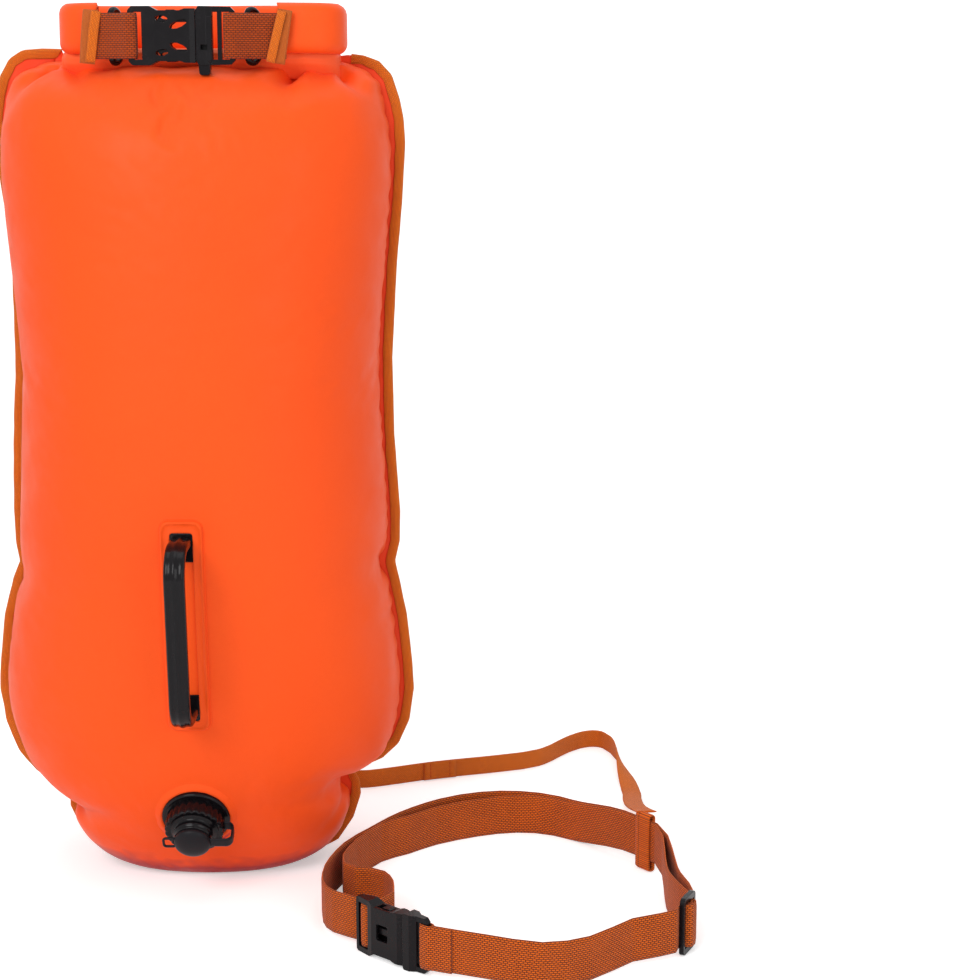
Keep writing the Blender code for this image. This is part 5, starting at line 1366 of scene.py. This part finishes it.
def make_loops():
    """The two closed loops of narrow webbing at the leash's ends."""
    inward = UP.cross(LOOP_WAY)
    centre = LOOP_PLACE + inward * (WEBBING + GAP) / 2
    centre.z = LOOP_HALF_HEIGHT + WEBBING / 2
    path = rounded_rectangle(WEBBING + 1.5 * GAP + WEBBING / 2, LOOP_HALF_HEIGHT, 0.0022, 6)
    line = resampled_ring([centre + inward * x + UP * z for x, z in path], LOOP_SPACING)
    mesh = ribbon(line, NARROW_WEBBING, WEBBING, tall=tuple(inward.cross(UP)), closed=True)
    add_piece("belt_loop_strip", mesh, RIBBED, "buoy", ["leash_belt_loop"])
    room = GAP + WEBBING / 2
    path = rounded_rectangle(HANDLE_WIDTH / 2 + room, HANDLE_THICKNESS / 2 + room, 0.0026, 6)
    line = resampled_ring([Vector((-FITTING_X + x, LEASH_ROUTE[0][1], HANDLE_BOTTOM + z))
                           for x, z in path], LOOP_SPACING)
    mesh = ribbon(line, NARROW_WEBBING, WEBBING, tall=(0.0, 1.0, 0.0), closed=True)
    add_piece("hitch_strip", mesh, TAPE, "buoy", ["leash_hitch"])


make_loops()


# The leash's splice: how far along X it lies, and points to each side of its middle
SPLICE_X = 0.172
SPLICE_REACH = 5


def make_splice():
    """The stitched step where the leash's end is doubled on itself; gives its outer face."""
    away = np.abs(leash_points[:, 0] - SPLICE_X) + (leash_points[:, 2] > 0.02)
    middle = int(np.argmin(away))
    part = leash_points[middle - SPLICE_REACH:middle + SPLICE_REACH + 1].copy()
    ways = ways_of(part)
    side = np.stack([ways[:, 1], -ways[:, 0], np.zeros(len(part))], axis=1)
    side /= np.linalg.norm(side, axis=1)[:, None]
    part += side * (WEBBING + 0.0001)
    mesh = ribbon(part, NARROW_WEBBING * 0.97, WEBBING)
    add_piece("leash_splice", mesh, TAPE, "buoy", ["leash"])
    return part + side * WEBBING / 2


STITCH_LENGTH = 0.0026
STITCH_PITCH = 0.0034
# A stitch's rings: place along it and share of its thickness
STITCH_RINGS = ((-0.5, 0.35), (-0.3, 0.9), (0.0, 1.0), (0.3, 0.9), (0.5, 0.35))
STITCH_SIDES = 6


def point_at(points, lengths, mark):
    """The point at a length along a line."""
    return np.array([np.interp(mark, lengths, points[:, k]) for k in range(3)])


def stitches(name, lines, body, replaced, radius):
    """Sewing stitches along lines. Each line is points and the directions in which they stand out."""
    verts, faces = [], []
    for points, normals in np.array(lines, dtype=float):
        lengths = travel(points)
        for mark in np.arange(STITCH_PITCH / 2, lengths[-1], STITCH_PITCH):
            centre = point_at(points, lengths, mark)
            normal = point_at(normals, lengths, mark)
            ahead, back = (point_at(points, lengths, mark + step) for step in (0.001, -0.001))
            way = (ahead - back) / np.linalg.norm(ahead - back)
            side = np.cross(way, normal)
            first = len(verts)
            for t, size in STITCH_RINGS:
                base = centre + way * t * STITCH_LENGTH + normal * radius * (0.5 - 2.6 * t * t)
                for turn in circle(STITCH_SIDES):
                    verts.append(tuple(base + radius * size * (normal * math.cos(turn)
                                                               + side * math.sin(turn))))
            for ring in range(first, len(verts) - STITCH_SIDES, STITCH_SIDES):
                for k in range(STITCH_SIDES):
                    a, b = ring + k, ring + (k + 1) % STITCH_SIDES
                    faces.append((a, b, b + STITCH_SIDES, a + STITCH_SIDES))
            faces.append(tuple(reversed(range(first, first + STITCH_SIDES))))
            faces.append(tuple(range(len(verts) - STITCH_SIDES, len(verts))))
    mesh = bpy.data.meshes.new(name)
    mesh.from_pydata(verts, [], faces)
    mesh.shade_smooth()
    add_piece(name, mesh, STITCHING, body, replaced)


def cross_line(points, index, shift, half):
    """A line across webbing at one of its points, on its side toward the front."""
    side = np.cross(points[index + 1] - points[index - 1], (0.0, 0.0, 1.0))
    side /= np.linalg.norm(side)
    if side[1] > 0:
        side = -side
    base = points[index] + side * shift
    return [base - (0.0, 0.0, half), base + (0.0, 0.0, half)], [side, side]


BELT_SEAM = (0.1905, -0.2395, 0.0175)


def make_stitching():
    """The seams of the belt's fold and of the leash's splice."""
    belt = strip_lines["belt_webbing"]
    near = int(np.argmin(np.linalg.norm(belt - BELT_SEAM, axis=1)))
    lines = [cross_line(belt, near + k, WEBBING / 2, 0.0135) for k in (0, 2)]
    stitches("belt_seam", lines, "buoy", ["belt_webbing"], 0.00042)
    part = make_splice()
    lines = [cross_line(part, k, 0.0, 0.0062) for k in (2, len(part) - 3)]
    stitches("leash_seam", lines, "buoy", ["leash"], 0.00032)


make_stitching()


# Square lamps: name, place, target, width and power
LAMPS = (
    ("key", (-0.9, -2.2, 1.7), (0.05, 0.0, 0.3), 1.4, 38.0),
    ("fill", (1.5, -1.9, 0.9), (0.1, 0.0, 0.25), 1.2, 11.0),
    ("top", (0.1, 0.1, 2.2), (0.1, 0.0, 0.2), 1.6, 11.0),
)
# The floor's front and back, the backdrop's bend and top, half of their width and the gap below the part
FLOOR_FRONT, FLOOR_BACK, BACKDROP_BEND, BACKDROP_TOP, BACKDROP_HALF = -4.0, 1.6, 0.8, 3.0, 4.0
FLOOR_DROP = 0.0002
WORLD_LIGHT = 0.50


def make_light(name, place, target, size, power):
    """A soft square lamp."""
    lamp = bpy.data.lights.new(name, "AREA")
    lamp.size = size
    lamp.energy = power
    holder = bpy.data.objects.new(name, lamp)
    holder.location = place
    holder.rotation_euler = (Vector(target) - Vector(place)).to_track_quat("-Z", "Y").to_euler()
    bpy.context.scene.collection.objects.link(holder)


def make_studio():
    """Floor, backdrop, soft lamps and a plain white world."""
    outline = [(FLOOR_FRONT, 0.0), (0.0, 0.0), (FLOOR_BACK, 0.0)]
    outline += [(FLOOR_BACK + BACKDROP_BEND * math.sin(a), BACKDROP_BEND * (1 - math.cos(a)))
                for a in np.linspace(0.1, math.pi / 2, 10)]
    outline.append((FLOOR_BACK + BACKDROP_BEND, BACKDROP_TOP))
    verts = [(x, y, z - FLOOR_DROP) for y, z in outline for x in (-BACKDROP_HALF, BACKDROP_HALF)]
    mesh = bpy.data.meshes.new("backdrop")
    mesh.from_pydata(verts, [], [(k, k + 1, k + 3, k + 2) for k in range(0, len(verts) - 2, 2)])
    mesh.shade_smooth()
    mesh.materials.append(backdrop_material())
    floor = bpy.data.objects.new("backdrop", mesh)
    bpy.context.scene.collection.objects.link(floor)
    for lamp in LAMPS:
        make_light(*lamp)
    world = bpy.data.worlds.new("studio")
    bpy.context.scene.world = world
    world.use_nodes = True
    tree = world.node_tree
    background = tree.nodes["Background"]
    background.inputs["Color"].default_value = (1.0, 1.0, 1.0, 1.0)
    tree.links.new(spread(tree, seen_or_mirrored(tree), 0.0, 1.0, WORLD_LIGHT, 1.0),
                   background.inputs["Strength"])
    bpy.context.scene.view_settings.view_transform = "Standard"


make_studio()
